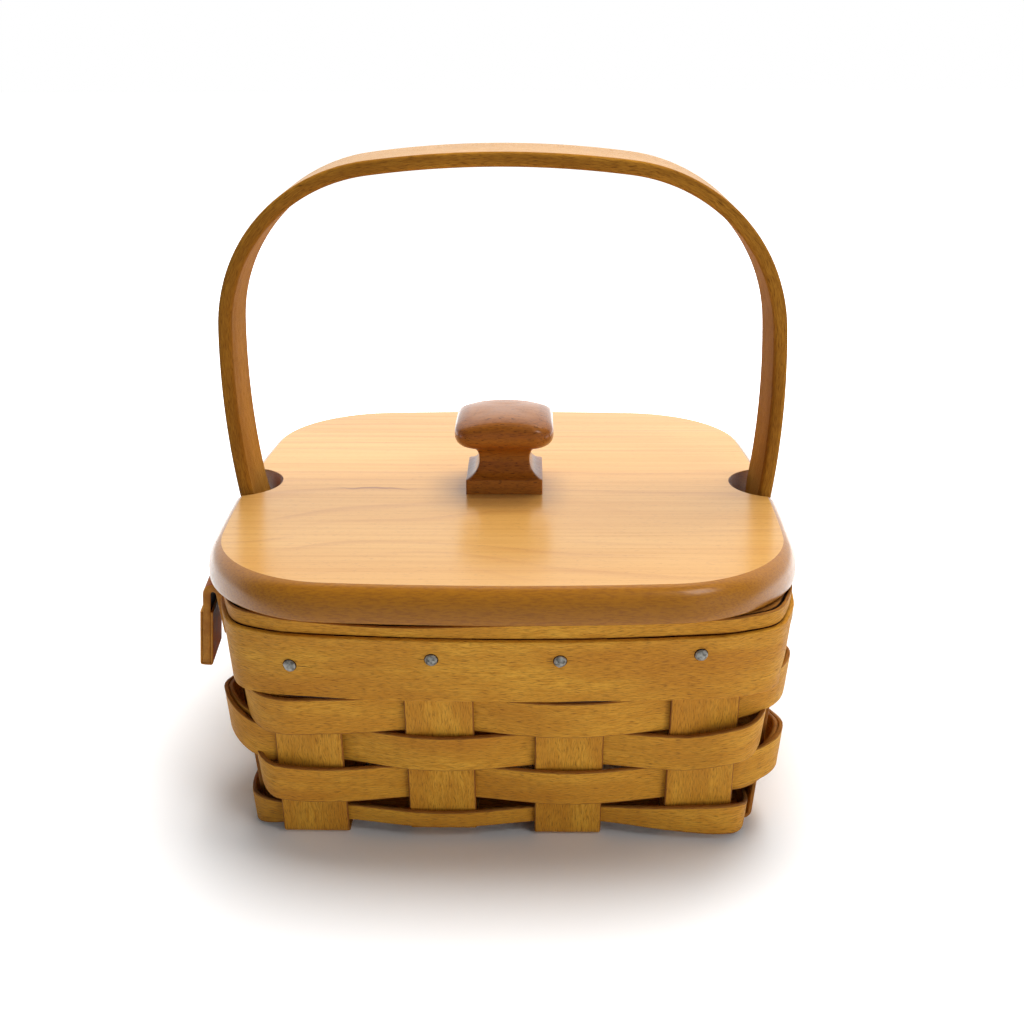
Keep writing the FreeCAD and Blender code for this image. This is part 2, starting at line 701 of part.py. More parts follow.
def knob_side():
    """The knob's side view as one flat face, standing on the origin."""
    base = size("knob_base") / 2
    base_top = size("knob_base_height")
    neck = size("knob_neck") / 2
    cap = size("knob_cap") / 2
    top = size("knob_height")
    cap_height = size("knob_cap_height")
    cap_low = top - cap_height
    brow = cap - cap_height * BROW_INSET
    waist = (base_top + cap_low) / 2 + (base - neck) / 4
    cap_middle = cap_low + cap_height * CAP_WIDEST
    shoulder = top - cap_height * SHOULDER_DROP
    cove = (neck + (base - neck) * COVE_MIDDLE[0], base_top + (waist - base_top) * COVE_MIDDLE[1])
    underside = (neck + (brow - neck) * UNDERSIDE_MIDDLE[0], waist + (cap_low - waist) * UNDERSIDE_MIDDLE[1])
    spots = [
        ((base, base_top), cove, (neck, waist)),
        ((neck, waist), underside, (brow, cap_low)),
        ((brow, cap_low), (cap, cap_middle), (brow, shoulder)),
    ]
    crown = ((brow, shoulder), (0, top), (-brow, shoulder))
    edges = [Part.makeLine(Vector(-base, 0, 0), Vector(base, 0, 0))]
    for sign in (1, -1):
        edges.append(Part.makeLine(Vector(sign * base, 0, 0), Vector(sign * base, 0, base_top)))
        for arc in spots:
            edges.append(Part.Arc(*[Vector(sign * x, 0, z) for x, z in arc]).toShape())
    edges.append(Part.Arc(*[Vector(x, 0, z) for x, z in crown]).toShape())
    return Part.Face(Part.Wire(Part.__sortEdges__(edges)))


knob_views = []
for name, turn in (("knob_front_view", 0), ("knob_side_view", 90)):
    view = doc.addObject("Part::Feature", name)
    view.Shape = knob_side()
    view.Placement = Placement(Vector(0, 0, 0), Rotation(Vector(0, 0, 1), turn))
    body = doc.addObject("Part::Extrusion", name + "_body")
    body.Base = view
    body.DirMode = "Custom"
    body.Dir = Rotation(Vector(0, 0, 1), turn).multVec(Vector(0, 1, 0))
    body.setExpression("LengthFwd", "2 * Sizes.knob_cap")
    body.Symmetric = True
    body.Solid = True
    knob_views.append(body)

knob_block = doc.addObject("Part::Box", "knob_block")
knob_block.setExpression("Length", "Sizes.knob_cap")
knob_block.setExpression("Width", "Sizes.knob_cap")
knob_block.setExpression("Height", "Sizes.knob_height")
knob_block.setExpression(".Placement.Base.x", "-Sizes.knob_cap / 2")
knob_block.setExpression(".Placement.Base.y", "-Sizes.knob_cap / 2")
doc.recompute()
knob_limit = doc.addObject("Part::Fillet", "knob_limit")
knob_limit.Base = knob_block
knob_limit.Edges = [
    (index, size("knob_cap_corner"), size("knob_cap_corner"))
    for index, edge in enumerate(knob_block.Shape.Edges, start=1)
    if abs(edge.Vertexes[0].Z - edge.Vertexes[-1].Z) > FLAT_ENOUGH
]
knob_form = doc.addObject("Part::MultiCommon", "knob_form")
knob_form.Shapes = knob_views + [knob_limit]
knob_pilot = doc.addObject("Part::Cylinder", "knob_pilot")
knob_pilot.setExpression("Radius", "Sizes.screw_shank / 2 + Sizes.screw_room")
knob_pilot.setExpression("Height", "Sizes.screw_reach + 2 * Sizes.screw_room")
lid_knob = doc.addObject("Part::Cut", "lid_knob")
lid_knob.Base = knob_form
lid_knob.Tool = knob_pilot
lid_knob.setExpression(".Placement.Base.z", "Sizes.rim_height + Sizes.lid_gap + Sizes.lid_thickness")
keep(lid_knob, "lid_knob")


# Screw: a flat head sunk in the lid's underside, its shank up into the knob

screw = doc.addObject("PartDesign::Body", "knob_screw")
screw_sketch = screw.newObject("Sketcher::SketchObject", "screw_section")
front_plane = [plane for plane in screw.Origin.OriginFeatures if plane.Role == "XZ_Plane"][0]
screw_sketch.AttachmentSupport = [(front_plane, "")]
screw_sketch.MapMode = "FlatFace"
head_depth = (size("screw_head") - size("screw_shank")) / 2
screw_length = size("lid_thickness") + size("screw_reach")
outline = [(0, 0), (size("screw_head") / 2, 0), (size("screw_shank") / 2, head_depth),
           (size("screw_shank") / 2, screw_length), (0, screw_length)]
for index, (x, y) in enumerate(outline):
    end = outline[(index + 1) % len(outline)]
    screw_sketch.addGeometry(Part.LineSegment(Vector(x, y, 0), Vector(end[0], end[1], 0)))
for index in range(len(outline)):
    screw_sketch.addConstraint(Sketcher.Constraint("Coincident", index, 2, (index + 1) % len(outline), 1))
screw_sketch.addConstraint(Sketcher.Constraint("Coincident", 0, 1, -1, 1))
screw_sketch.addConstraint(Sketcher.Constraint("Horizontal", 0))
screw_sketch.addConstraint(Sketcher.Constraint("Vertical", 2))
screw_sketch.addConstraint(Sketcher.Constraint("Horizontal", 3))
screw_sketch.addConstraint(Sketcher.Constraint("Vertical", 4))
bindings = (
    ("DistanceX", (0, 1, 0, 2), size("screw_head") / 2, "Sizes.screw_head / 2"),
    ("DistanceX", (3, 2, 3, 1), size("screw_shank") / 2, "Sizes.screw_shank / 2"),
    ("DistanceY", (1, 1, 1, 2), head_depth, "(Sizes.screw_head - Sizes.screw_shank) / 2"),
    ("DistanceY", (0, 1, 3, 2), screw_length, "Sizes.lid_thickness + Sizes.screw_reach"),
)
for kind, ends, value, expression in bindings:
    number = screw_sketch.addConstraint(Sketcher.Constraint(kind, *ends, value))
    screw_sketch.setExpression(f"Constraints[{number}]", expression)
screw_turn = screw.newObject("PartDesign::Revolution", "screw_turn")
screw_turn.Profile = screw_sketch
screw_turn.ReferenceAxis = (screw_sketch, ["V_Axis"])
screw_turn.Angle = 360
screw.setExpression(".Placement.Base.z", "Sizes.rim_height + Sizes.lid_gap")
keep(screw, "knob_screw")


# Leather tab on the left wall: fixed to the band, folded over at the top, with a sleeve round the flap's end

strap_thickness = size("strap_thickness")
strap_offset = band_face + size("strap_gap") + strap_thickness / 2
strap_turn = size("strap_turn")
flap_tilt = math.radians(size("flap_tilt"))
flap_way = (math.sin(flap_tilt), -math.cos(flap_tilt))


def leather_edges(line_at, thickness):
    """A leather strip with the (distance, height) line that line_at gives at each of its two edges."""
    rails = []
    for edge, side in ((-1, 1), (1, 1), (1, -1), (-1, -1)):
        along = strap_place + edge * size("strap_width") / 2
        line = side_line(line_at(along), side * thickness / 2)
        rails.append([turned(Vector(along, -distance, height), LEFT) for distance, height in line])
    return strip_solid(rails)


def strap_line(along):
    """The fixed leather's line: up the outside of the outer band and over the fold."""
    band = [(wall_half(along, height) + strap_offset, height) for height in steps(strap_low, strap_fold, 2)]
    lean = math.atan2(band[2][0] - band[1][0], band[2][1] - band[1][1])
    centre = (band[2][0] + strap_turn * math.cos(lean), band[2][1] - strap_turn * math.sin(lean))
    fold = [(centre[0] + strap_turn * math.cos(angle), centre[1] + strap_turn * math.sin(angle))
            for angle in steps(math.pi - lean, flap_tilt, 2 * CURVE_STEPS)]
    end = (fold[-1][0] + strap_turn * flap_way[0], fold[-1][1] + strap_turn * flap_way[1])
    return band + fold[1:] + [end]


def flap_line(along):
    """The flap's line, from the fold's end down to its foot."""
    start = strap_line(along)[-1]
    drop = (start[1] - flap_low) / math.cos(flap_tilt)
    return [start, (start[0] + drop * flap_way[0], start[1] + drop * flap_way[1])]


def sleeve_line(along):
    """The sleeve's line: down the inside of the flap, round its lower end and up the outside."""
    foot = flap_line(along)[-1]
    turn = (strap_thickness + size("sleeve_thickness")) / 2 + weave_gap
    across = (-flap_way[1], flap_way[0])
    spots = [(-turn, size("sleeve_height"))]
    spots += [(turn * math.cos(angle), turn * math.sin(angle))
              for angle in steps(math.pi, 2 * math.pi, 2 * CURVE_STEPS)]
    spots.append((turn, size("sleeve_height")))
    return [(foot[0] + out * across[0] - (rise + weave_gap) * flap_way[0],
             foot[1] + out * across[1] - (rise + weave_gap) * flap_way[1]) for out, rise in spots]


add_shape("leather_strap", leather_edges(strap_line, strap_thickness).cut(strap_holes))
add_shape("leather_flap", leather_edges(flap_line, strap_thickness))
add_shape("leather_sleeve", leather_edges(sleeve_line, size("sleeve_thickness")))


doc.recompute()
for piece in doc.Objects:
    if "Invalid" in piece.State or "Error" in piece.State:
        raise RuntimeError(f"{piece.Label} failed: {piece.State}")
for piece in pieces:
    if piece.Shape.isNull() or not piece.Shape.isValid() or piece.Shape.Volume <= 0:
        raise RuntimeError(f"{piece.Label} has no valid shape")

os.makedirs("parts", exist_ok=True)
for piece in pieces:
    piece.Shape.exportStep(f"parts/{piece.Label}.step")
    print(f"{piece.Label}: {len(piece.Shape.Solids)} solids, {piece.Shape.Volume:.1f} mm3")
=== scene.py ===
import random
from math import atan, atan2, cos, hypot, pi, radians, sin, sqrt, tan

import bmesh
import bpy
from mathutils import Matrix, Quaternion, Vector, noise


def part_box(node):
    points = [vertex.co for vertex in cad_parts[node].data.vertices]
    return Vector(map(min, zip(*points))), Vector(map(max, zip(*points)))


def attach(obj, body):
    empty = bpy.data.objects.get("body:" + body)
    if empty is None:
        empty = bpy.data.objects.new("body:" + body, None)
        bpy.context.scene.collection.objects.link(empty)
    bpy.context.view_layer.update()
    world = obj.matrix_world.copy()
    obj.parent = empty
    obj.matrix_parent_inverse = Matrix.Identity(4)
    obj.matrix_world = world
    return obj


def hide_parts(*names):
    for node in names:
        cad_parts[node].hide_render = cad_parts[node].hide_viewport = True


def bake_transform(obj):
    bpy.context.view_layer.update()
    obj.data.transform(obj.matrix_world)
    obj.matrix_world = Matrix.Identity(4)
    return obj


# The looks of a square woven splint basket with a bent handle, a notched board lid and a leather tab.
# Lengths are in mm in the part's own frame: the origin is under the middle of the base, +Z is up and
# the front wall faces -Y. Meshes are written in metres.

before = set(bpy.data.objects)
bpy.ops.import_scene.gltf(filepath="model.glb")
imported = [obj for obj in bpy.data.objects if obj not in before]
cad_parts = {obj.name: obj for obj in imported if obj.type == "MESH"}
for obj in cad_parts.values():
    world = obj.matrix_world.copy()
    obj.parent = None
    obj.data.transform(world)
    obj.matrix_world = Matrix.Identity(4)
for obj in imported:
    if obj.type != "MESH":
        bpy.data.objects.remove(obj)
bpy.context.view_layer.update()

MM = 0.001
FRONT, RIGHT, BACK, LEFT = range(4)
WALLS = 4
STAKES_A_SIDE = 4
MIDDLE_STAKE = (STAKES_A_SIDE - 1) / 2
STAKES = STAKES_A_SIDE * WALLS
LAP_STAKES = 2


def node_span(node, axis=2):
    """Ends of a CAD node along an axis, upwards where none is named, in mm."""
    low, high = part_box(node)
    return (low / MM)[axis], (high / MM)[axis]


# Sizes of the basket's walls and strips

RIM_HALF = 82.0
WALL_LEAN = radians(9.0)
SIDE_RADIUS = 420.0
RIM_CORNER = 26.0
BASE_CORNER = 7.7
STAKE_WIDTH = 18.8
STAKE_THICKNESS = 1.2
WEAVER_THICKNESS = 1.25
BAND_THICKNESS = 1.5
BASE_BEND = 1.5
WEAVE_GAP = 0.2
BAND_LAP = 12.0

OUTER_LOW, OUTER_TOP = node_span("outer_band")
INNER_LOW, RIM_HEIGHT = node_span("inner_band")
BASE_HALF = RIM_HALF - RIM_HEIGHT * tan(WALL_LEAN)
STAKE_FLAT = STAKE_WIDTH / 2 + 2 * WEAVE_GAP
WALL_END = BASE_HALF - BASE_CORNER
STAKE_PITCH = (WALL_END - STAKE_FLAT) / MIDDLE_STAKE
BAND_OFFSET = (STAKE_THICKNESS + BAND_THICKNESS) / 2 + WEAVE_GAP
BAND_FACE = BAND_OFFSET + BAND_THICKNESS / 2

# Wave of the weavers, and how each row behaves at the corners: where it starts, how far it loops out
# where it passes over an end splint, and how far it climbs there on the front and back and on the sides
WEAVE_AMPLITUDE = 2.1
ROWS = {
    "weaver_a": {"start": (BACK, 1), "bulge": 1.6, "climb": 2.0, "side_climb": 5.5},
    "weaver_b": {"start": (LEFT, 2), "bulge": 2.4, "climb": 3.0, "side_climb": 6.5},
    "weaver_c": {"start": (FRONT, 3), "bulge": 2.0, "climb": 1.5, "side_climb": 6.5},
    "weaver_d": {"start": (BACK, 0), "bulge": 0.8, "climb": -0.2, "side_climb": -2.0},
}
TUCK = 7.0
CLIMB_RUN = 14.7
SIDE_CLIMB_RUN = 34.0
FOOT_ROW_TRIM = 1.7
FOOT_ROW_RISE = 3.0
FOOT_ROW_DROP = 1.8
FOOT_RIGHT, FOOT_RIGHT_RUN = 20.0, 45.0
FOOT_LEFT, FOOT_LEFT_RUN = 52.0, 11.0
STATION_STEP = 2.0
CORNER_STEPS = 16
CORNER_EASE = 0.58
BULGE_RUN = 1.5 * STAKE_FLAT
EDGE_ROUND = 0.35
EDGE_WOBBLE = 0.16
WOBBLE_PACE = 0.06
UPPER_SEED = 0.37
SECTION_SHARES = (0.28, 0.5, 0.72)
SECTION_MARGIN, MARGIN_SHARE = 0.5, 0.1
TINY = 1e-6
GRAIN_UNIT = 100.0
RING_GRAIN = 37.0
STAKE_GRAIN = 53.0
STAKE_GRAIN_STEP = 11.0


def smooth(share):
    """Eases from 0 to 1, level at both ends."""
    share = min(1.0, max(0.0, share))
    return share * share * (3 - 2 * share)


def steps(first, last, count):
    """Evenly spaced values from first to last, both ends included."""
    return [first + (last - first) * step / count for step in range(count + 1)]


def wander(*place):
    """A smooth random value from about -1 to 1 that is the same each run."""
    return noise.noise(Vector(place))


def circle(count):
    """Evenly spaced angles of a full turn."""
    return steps(0, 2 * pi, count)[:-1]


def arc(middle, reach, first, last, count):
    """Pairs along a part of an ellipse, from one angle to another."""
    return [(middle[0] + reach[0] * cos(turn), middle[1] + reach[1] * sin(turn))
            for turn in steps(first, last, count)]


def up(height):
    """A move straight up."""
    return Vector((0, 0, height))


def add_object(name, data):
    """Puts a new object into the scene."""
    thing = bpy.data.objects.new(name, data)
    bpy.context.scene.collection.objects.link(thing)
    return thing


# Meshes


class Skin:
    """Collects points in mm and faces with their grain places, and makes one object of them."""

    def __init__(self):
        self.points = []
        self.faces = []
        self.grain = []
        self.slots = []

    def add_points(self, points):
        first = len(self.points)
        self.points += points
        return first

    def add_face(self, corners, grain=None, slot=0):
        self.faces.append(corners)
        self.grain.append(grain or [(0.0, 0.0)] * len(corners))
        self.slots.append(slot)

    def add_rings(self, rings, slots=None):
        """Joins rings of points and closes both ends. A ring's slot goes to the faces that lead to it."""
        slots = slots or [0] * len(rings)
        firsts = [self.add_points(ring) for ring in rings]
        count = len(rings[0])
        for near, far, slot in zip(firsts, firsts[1:], slots[1:]):
            for index in range(count):
                following = (index + 1) % count
                self.add_face([near + index, near + following, far + following, far + index], slot=slot)
        for first, slot in ((firsts[0], slots[0]), (firsts[-1], slots[-1])):
            self.add_face([first + index for index in range(count)], slot=slot)

    def make(self, name, *materials, sharp_angle=40):
        mesh = bpy.data.meshes.new(name)
        mesh.from_pydata([point * MM for point in self.points], [], self.faces)
        layer = mesh.uv_layers.new(name="grain")
        for polygon, places in zip(mesh.polygons, self.grain):
            for loop, (along, across) in zip(polygon.loop_indices, places):
                layer.data[loop].uv = (along / GRAIN_UNIT, across / GRAIN_UNIT)
        mesh.polygons.foreach_set("material_index", self.slots)
        for material in materials:
            mesh.materials.append(material)
        shade(mesh, sharp_angle)
        return add_object(name, mesh)


def shade(mesh, sharp_angle):
    """Turns all faces outwards and shades them smooth but for sharp edges."""
    work = bmesh.new()
    work.from_mesh(mesh)
    bmesh.ops.recalc_face_normals(work, faces=work.faces)
    for face in work.faces:
        face.smooth = True
    for edge in work.edges:
        edge.smooth = edge.calc_face_angle(0.0) < radians(sharp_angle)
    work.to_mesh(mesh)
    work.free()


def place_piece(piece, body, slot, *nodes):
    """Puts a finished piece on its body, in place of the CAD nodes that it stands for."""
    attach(piece, body)
    if nodes:
        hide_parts(*nodes)


def strip_section(width, thickness, edge):
    """Points (across, out) round the section of a flat strip with rounded edges."""
    half = thickness / 2
    near, far = edge, width - edge
    margin = edge + min(SECTION_MARGIN, width * MARGIN_SHARE)
    inner = [margin] + [width * share for share in SECTION_SHARES] + [width - margin]
    points = []
    for across, out, start in ((near, half - edge, 180), (far, half - edge, 90),
                               (far, edge - half, 0), (near, edge - half, -90)):
        points += arc((across, out), (edge, edge), radians(start), radians(start - 90), 3)
        if start == 180:
            points += [(spot, half) for spot in inner]
        if start == 0:
            points += [(spot, -half) for spot in reversed(inner)]
    return points


def add_strip(skin, lows, highs, thickness, edge=EDGE_ROUND, grain_shift=0.0, edge_slot=0, back_slot=0):
    """Adds a closed strip between two long edges. It is as thick as given, half to each side."""
    count = len(lows)
    width = sum((high - low).length for low, high in zip(lows, highs)) / count
    section = strip_section(width, thickness, edge)
    around = [0.0]
    for (a, b), (c, d) in zip(section, section[1:] + section[:1]):
        around.append(around[-1] + hypot(c - a, d - b))
    middles = [(low + high) / 2 for low, high in zip(lows, highs)]
    along = [grain_shift]
    points = []
    for index, (low, high) in enumerate(zip(lows, highs)):
        if index:
            along.append(along[-1] + (middles[index] - middles[index - 1]).length)
        tangent = middles[min(index + 1, count - 1)] - middles[max(index - 1, 0)]
        across = high - low
        out = tangent.cross(across).normalized()
        points += [low + across * (place / width) + out * height for place, height in section]
    first = skin.add_points(points)
    ring = len(section)
    for index in range(count - 1):
        for side in range(ring):
            spots = ((index, side), (index, side + 1), (index + 1, side + 1), (index + 1, side))
            corners = [first + row * ring + spot % ring for row, spot in spots]
            grain = [(along[row], around[spot] + grain_shift) for row, spot in spots]
            level = section[side][1] + section[(side + 1) % ring][1]
            slot = 0
            if level < TINY - thickness:
                slot = back_slot
            if abs(level) < thickness - TINY:
                slot = edge_slot
            skin.add_face(corners, grain, slot)
    for index in (0, count - 1):
        corners = [first + index * ring + side for side in range(ring)]
        grain = [(grain_shift + height, grain_shift + place) for place, height in section]
        skin.add_face(corners, grain, edge_slot)


def make_strip(name, edges, thickness, looks, edge=EDGE_ROUND, grain_shift=0.0):
    """One strip, with looks for its face, its edges and, where there is a third, its back."""
    skin = Skin()
    back_slot = 2 if len(looks) > 2 else 0
    add_strip(skin, *edges, thickness, edge, grain_shift, edge_slot=1, back_slot=back_slot)
    return skin.make(name, *looks)


# Walls


def stake_along(number):
    """Place of an upright splint along its wall, from the wall's middle."""
    return (number % STAKES_A_SIDE - MIDDLE_STAKE) * STAKE_PITCH


def rim_line(along):
    """Distance from the basket's axis to the bowed line of the rim, with its round corners."""
    past_corner = max(0.0, abs(along) - (RIM_HALF - RIM_CORNER))
    corner = RIM_CORNER - sqrt(RIM_CORNER ** 2 - past_corner ** 2)
    return RIM_HALF - along ** 2 / (2 * SIDE_RADIUS) - corner


def wall_half(along, height):
    """Distance from the axis to the middle of the upright splints."""
    return BASE_HALF + (rim_line(along) - BASE_HALF) * height / RIM_HEIGHT


def turned(point, wall):
    """Turns a point of the front wall to another wall, counted round by the right side."""
    for _ in range(wall % WALLS):
        point = Vector((-point.y, point.x, point.z))
    return point


def wall_point(wall, along, offset, height):
    """A point beside a wall, offset outwards from the middle of the upright splints."""
    return turned(Vector((along, -(wall_half(along, height) + offset), height)), wall)


def wall_normal(wall, along, height):
    """Outward direction of a wall at a point."""
    small = 0.01
    slope_along = (wall_half(along + small, height) - wall_half(along - small, height)) / (2 * small)
    slope_up = (wall_half(along, height + small) - wall_half(along, height - small)) / (2 * small)
    return turned(Vector((-slope_along, -1, -slope_up)).normalized(), wall)


def curve_between(start, start_way, end, end_way, count):
    """Inner points of a smooth curve that leaves one point and meets another along given directions."""
    reach = end - start
    first = start + start_way * (CORNER_EASE * reach.dot(start_way))
    second = end - end_way * (CORNER_EASE * reach.dot(end_way))
    points = []
    for share in steps(0, 1, count)[1:-1]:
        rest = 1 - share
        points.append(start * rest ** 3 + first * (3 * rest ** 2 * share)
                      + second * (3 * rest * share ** 2) + end * share ** 3)
    return points


def wall_spots(first, last):
    """(wall, along) pairs along several walls in turn."""
    alongs = steps(-WALL_END, WALL_END, round(2 * WALL_END / STATION_STEP))
    return [(wall, along) for wall in range(first, last + 1) for along in alongs]


def ring_line(stations, height):
    """One edge of a strip that follows (wall, along, offset, lift) stations round the basket."""
    spots = [wall_point(wall, along, offset, height + lift) for wall, along, offset, lift in stations]
    line = [spots[0]]
    for index in range(1, len(spots)):
        if stations[index][0] != stations[index - 1][0]:
            leave = (spots[index - 1] - spots[index - 2]).normalized()
            arrive = (spots[index + 1] - spots[index]).normalized()
            line += curve_between(spots[index - 1], leave, spots[index], arrive, CORNER_STEPS)
        line.append(spots[index])
    return line


def uneven(line, seed):
    """Lets an edge of a split strip wander up and down a little."""
    drifts = [EDGE_WOBBLE * wander(WOBBLE_PACE * index, seed, 0.5) for index in range(len(line))]
    return [point + up(drift) for point, drift in zip(line, drifts)]


def make_ring(name, nodes, stations, span, thickness, seed, woods, high_stations=None):
    """A strip that runs round the basket between two heights."""
    low, high = span
    lows = uneven(ring_line(stations, low), seed)
    highs = uneven(ring_line(high_stations or stations, high), seed + UPPER_SEED)
    strip = make_strip(name, (lows, highs), thickness, woods, grain_shift=RING_GRAIN * seed)
    place_piece(strip, "basket", "splint", *nodes)


# Upright splints

STAKE_TOP = OUTER_TOP - 2 * WEAVE_GAP
FRONT_BACK_STRAY = (-1.4, -0.3, -0.3, 0.9)
BASE_LIFT = STAKE_THICKNESS + WEAVE_GAP


def base_level(column, crossing, front_back):
    """Height of the middle of a base splint where it crosses another."""
    over = (column + crossing) % 2 == (1 if front_back else 0)
    return STAKE_THICKNESS / 2 + (BASE_LIFT if over else 0)


def base_height(distance, levels):
    """Height of a base splint at a distance from the middle, level across each crossing."""
    place = distance / STAKE_PITCH + MIDDLE_STAKE
    near = min(STAKES_A_SIDE - 2, max(0, int(place)))
    flat = STAKE_FLAT / STAKE_PITCH
    share = smooth((place - near - flat) / (1 - 2 * flat))
    return levels[near] + (levels[near + 1] - levels[near]) * share


def stake_rise(along, level):
    """(distance, height) pairs of a splint at one edge, round the bend at the base and up a wall."""
    lean = atan((wall_half(along, RIM_HEIGHT) - BASE_HALF) / RIM_HEIGHT)
    bend = BASE_BEND + STAKE_THICKNESS / 2
    centre_height = level + bend
    centre = wall_half(along, centre_height) - bend / cos(lean)
    line = arc((centre, centre_height), (bend, -bend), pi / 2, lean, 8)
    heights = steps(line[-1][1], STAKE_TOP, 30)[1:]
    return line + [(wall_half(along, height), height) for height in heights]


def stake_edge(along, levels):
    """(distance, height) pairs of one edge of an upright splint, from wall to wall."""
    near = [(-distance, height) for distance, height in reversed(stake_rise(along, levels[0]))]
    far = stake_rise(along, levels[-1])
    flat = steps(near[-1][0], far[0][0], 60)[1:-1]
    return near + [(distance, base_height(distance, levels)) for distance in flat] + far


def make_stake(column, front_back, woods):
    """One upright splint: up one wall, across the base in plain weave and up the opposite wall."""
    levels = [base_level(column, crossing, front_back) for crossing in range(STAKES_A_SIDE)]
    edges = []
    for side in (-1, 1):
        along = stake_along(column) + side * STAKE_WIDTH / 2
        if front_back:
            along += FRONT_BACK_STRAY[column]
            edges.append([Vector((along, *spot)) for spot in stake_edge(along, levels)])
        else:
            line = stake_edge(along, levels)
            edges.insert(0, [Vector((distance, along, height)) for distance, height in line])
    way = "front_back" if front_back else "left_right"
    node = f"stake_{way}_{column + 1}"
    shift = STAKE_GRAIN * (column + 1) + (STAKE_GRAIN_STEP if front_back else 0)
    stake = make_strip(node + "_splint", edges, STAKE_THICKNESS, woods, grain_shift=shift)
    place_piece(stake, "basket", "splint", node)


# Weavers


def corner_climb(row, wall, along):
    """How far a row climbs near a corner. The two top rows stay low at the left of the front and back."""
    from_end = WALL_END - abs(along)
    if wall % WALLS in (RIGHT, LEFT):
        return ROWS[row]["side_climb"] * smooth(1 - from_end / SIDE_CLIMB_RUN)
    if row in ("weaver_a", "weaver_b") and along < 0:
        return 0.0
    return ROWS[row]["climb"] * smooth(1 - from_end / CLIMB_RUN)


def weaver_stations(row):
    """Stations of a weaver that starts behind a splint and laps its own start."""
    start_wall, place = ROWS[row]["start"]
    first = start_wall * STAKES_A_SIDE + place
    last = first + STAKES + LAP_STAKES
    layer = WEAVER_THICKNESS + WEAVE_GAP
    stations = []
    for wall, along in wall_spots(first // STAKES_A_SIDE, last // STAKES_A_SIDE):
        place = wall * STAKES_A_SIDE + along / STAKE_PITCH + MIDDLE_STAKE
        if not first <= place <= last:
            continue
        number = round(place)
        is_over = (number - first) % 2 == 1
        if not is_over and first < number < last and abs(along) > WALL_END - TUCK:
            continue
        wave = -cos(pi * (place - first))
        share_over = (1 + wave) / 2
        offset = WEAVE_AMPLITUDE * wave
        if place < first + LAP_STAKES + 1:
            offset -= layer * (1 - share_over)
        if place > first + STAKES:
            offset += layer * share_over
        if is_over:
            offset += ROWS[row]["bulge"] * smooth(1 - (WALL_END - abs(along)) / BULGE_RUN)
        stations.append((wall, along, offset, corner_climb(row, wall, along)))
    return stations


def foot_edges(stations):
    """The foot row's lower edge dips at each wall's ends, and its trimmed upper edge rises to the right."""
    lows, highs = [], []
    for wall, along, offset, lift in stations:
        rise = smooth((along - FOOT_RIGHT) / FOOT_RIGHT_RUN)
        dip = rise + smooth((-along - FOOT_LEFT) / FOOT_LEFT_RUN)
        lows.append((wall, along, offset, lift - FOOT_ROW_DROP * dip))
        highs.append((wall, along, offset, lift - FOOT_ROW_TRIM + FOOT_ROW_RISE * rise))
    return lows, highs


def make_weavers(woods):
    for seed, row in enumerate(ROWS, start=1):
        lows = highs = weaver_stations(row)
        if row == "weaver_d":
            lows, highs = foot_edges(lows)
        make_ring(row + "_splint", [row], lows, node_span(row), WEAVER_THICKNESS, seed, woods, highs)


# Bands round the rim

HANDLE_WIDTH = 21.5
HANDLE_THICKNESS = 4.2
SEAT_GAP = 0.25
LEG_HALF = HANDLE_WIDTH / 2
LEG_STACK = HANDLE_THICKNESS + 2 * SEAT_GAP
LEG_HOLD = LEG_HALF + 2 * SEAT_GAP
LEG_RUN = STAKE_PITCH / 2
LAP_CLEAR = 3.6
LIP_OFFSET = BAND_OFFSET - 1.0
LIP_THICKNESS = 0.9
LIP_GAP = 0.3
LIP_DROP = 1.5
LIP_START = 8.0
LIP_RUN = 40.0
LIP_CORNER = 72.0


def lap_shift(wall, along):
    """How far a band's last end is set off by its own start."""
    ramp = stake_along(2) - BAND_LAP / 2 - LAP_CLEAR
    if wall < BACK + WALLS:
        return 0.0
    return (BAND_THICKNESS + WEAVE_GAP) * smooth((along + BAND_LAP / 2 + ramp) / ramp)


def outer_band_offset(wall, along):
    return BAND_OFFSET + lap_shift(wall, along)


def inner_band_offset(wall, along):
    """The inner band runs behind the handle's legs at the two sides."""
    behind_leg = 0.0
    if wall % WALLS in (RIGHT, LEFT):
        behind_leg = LEG_STACK * smooth(1 - (abs(along) - LEG_HOLD) / LEG_RUN)
    return -BAND_OFFSET - behind_leg - lap_shift(wall, along)


def band_stations(offset_at, lift_at=None):
    """Stations of a band from the middle of the back wall, round the basket and past its own start."""
    stations = []
    for wall, along in wall_spots(BACK, BACK + WALLS):
        before_start = wall == BACK and along < -BAND_LAP / 2
        past_end = wall == BACK + WALLS and along > BAND_LAP / 2
        if not before_start and not past_end:
            lift = lift_at(wall, along) if lift_at else 0.0
            stations.append((wall, along, offset_at(wall, along), lift))
    return stations


def lip_offset(wall, along):
    """The inner band's upper edge stands out over the tops of the upright splints."""
    return LIP_OFFSET + lap_shift(wall, along) / 2


def lip_lift(wall, along):
    """The lip's upper edge dips along the left half of the front, where the lid leaves a dark gap."""
    if wall % WALLS != FRONT:
        return 0.0
    return -LIP_DROP * smooth((LIP_START - along) / LIP_RUN) * smooth((LIP_CORNER + along) / LIP_RUN)


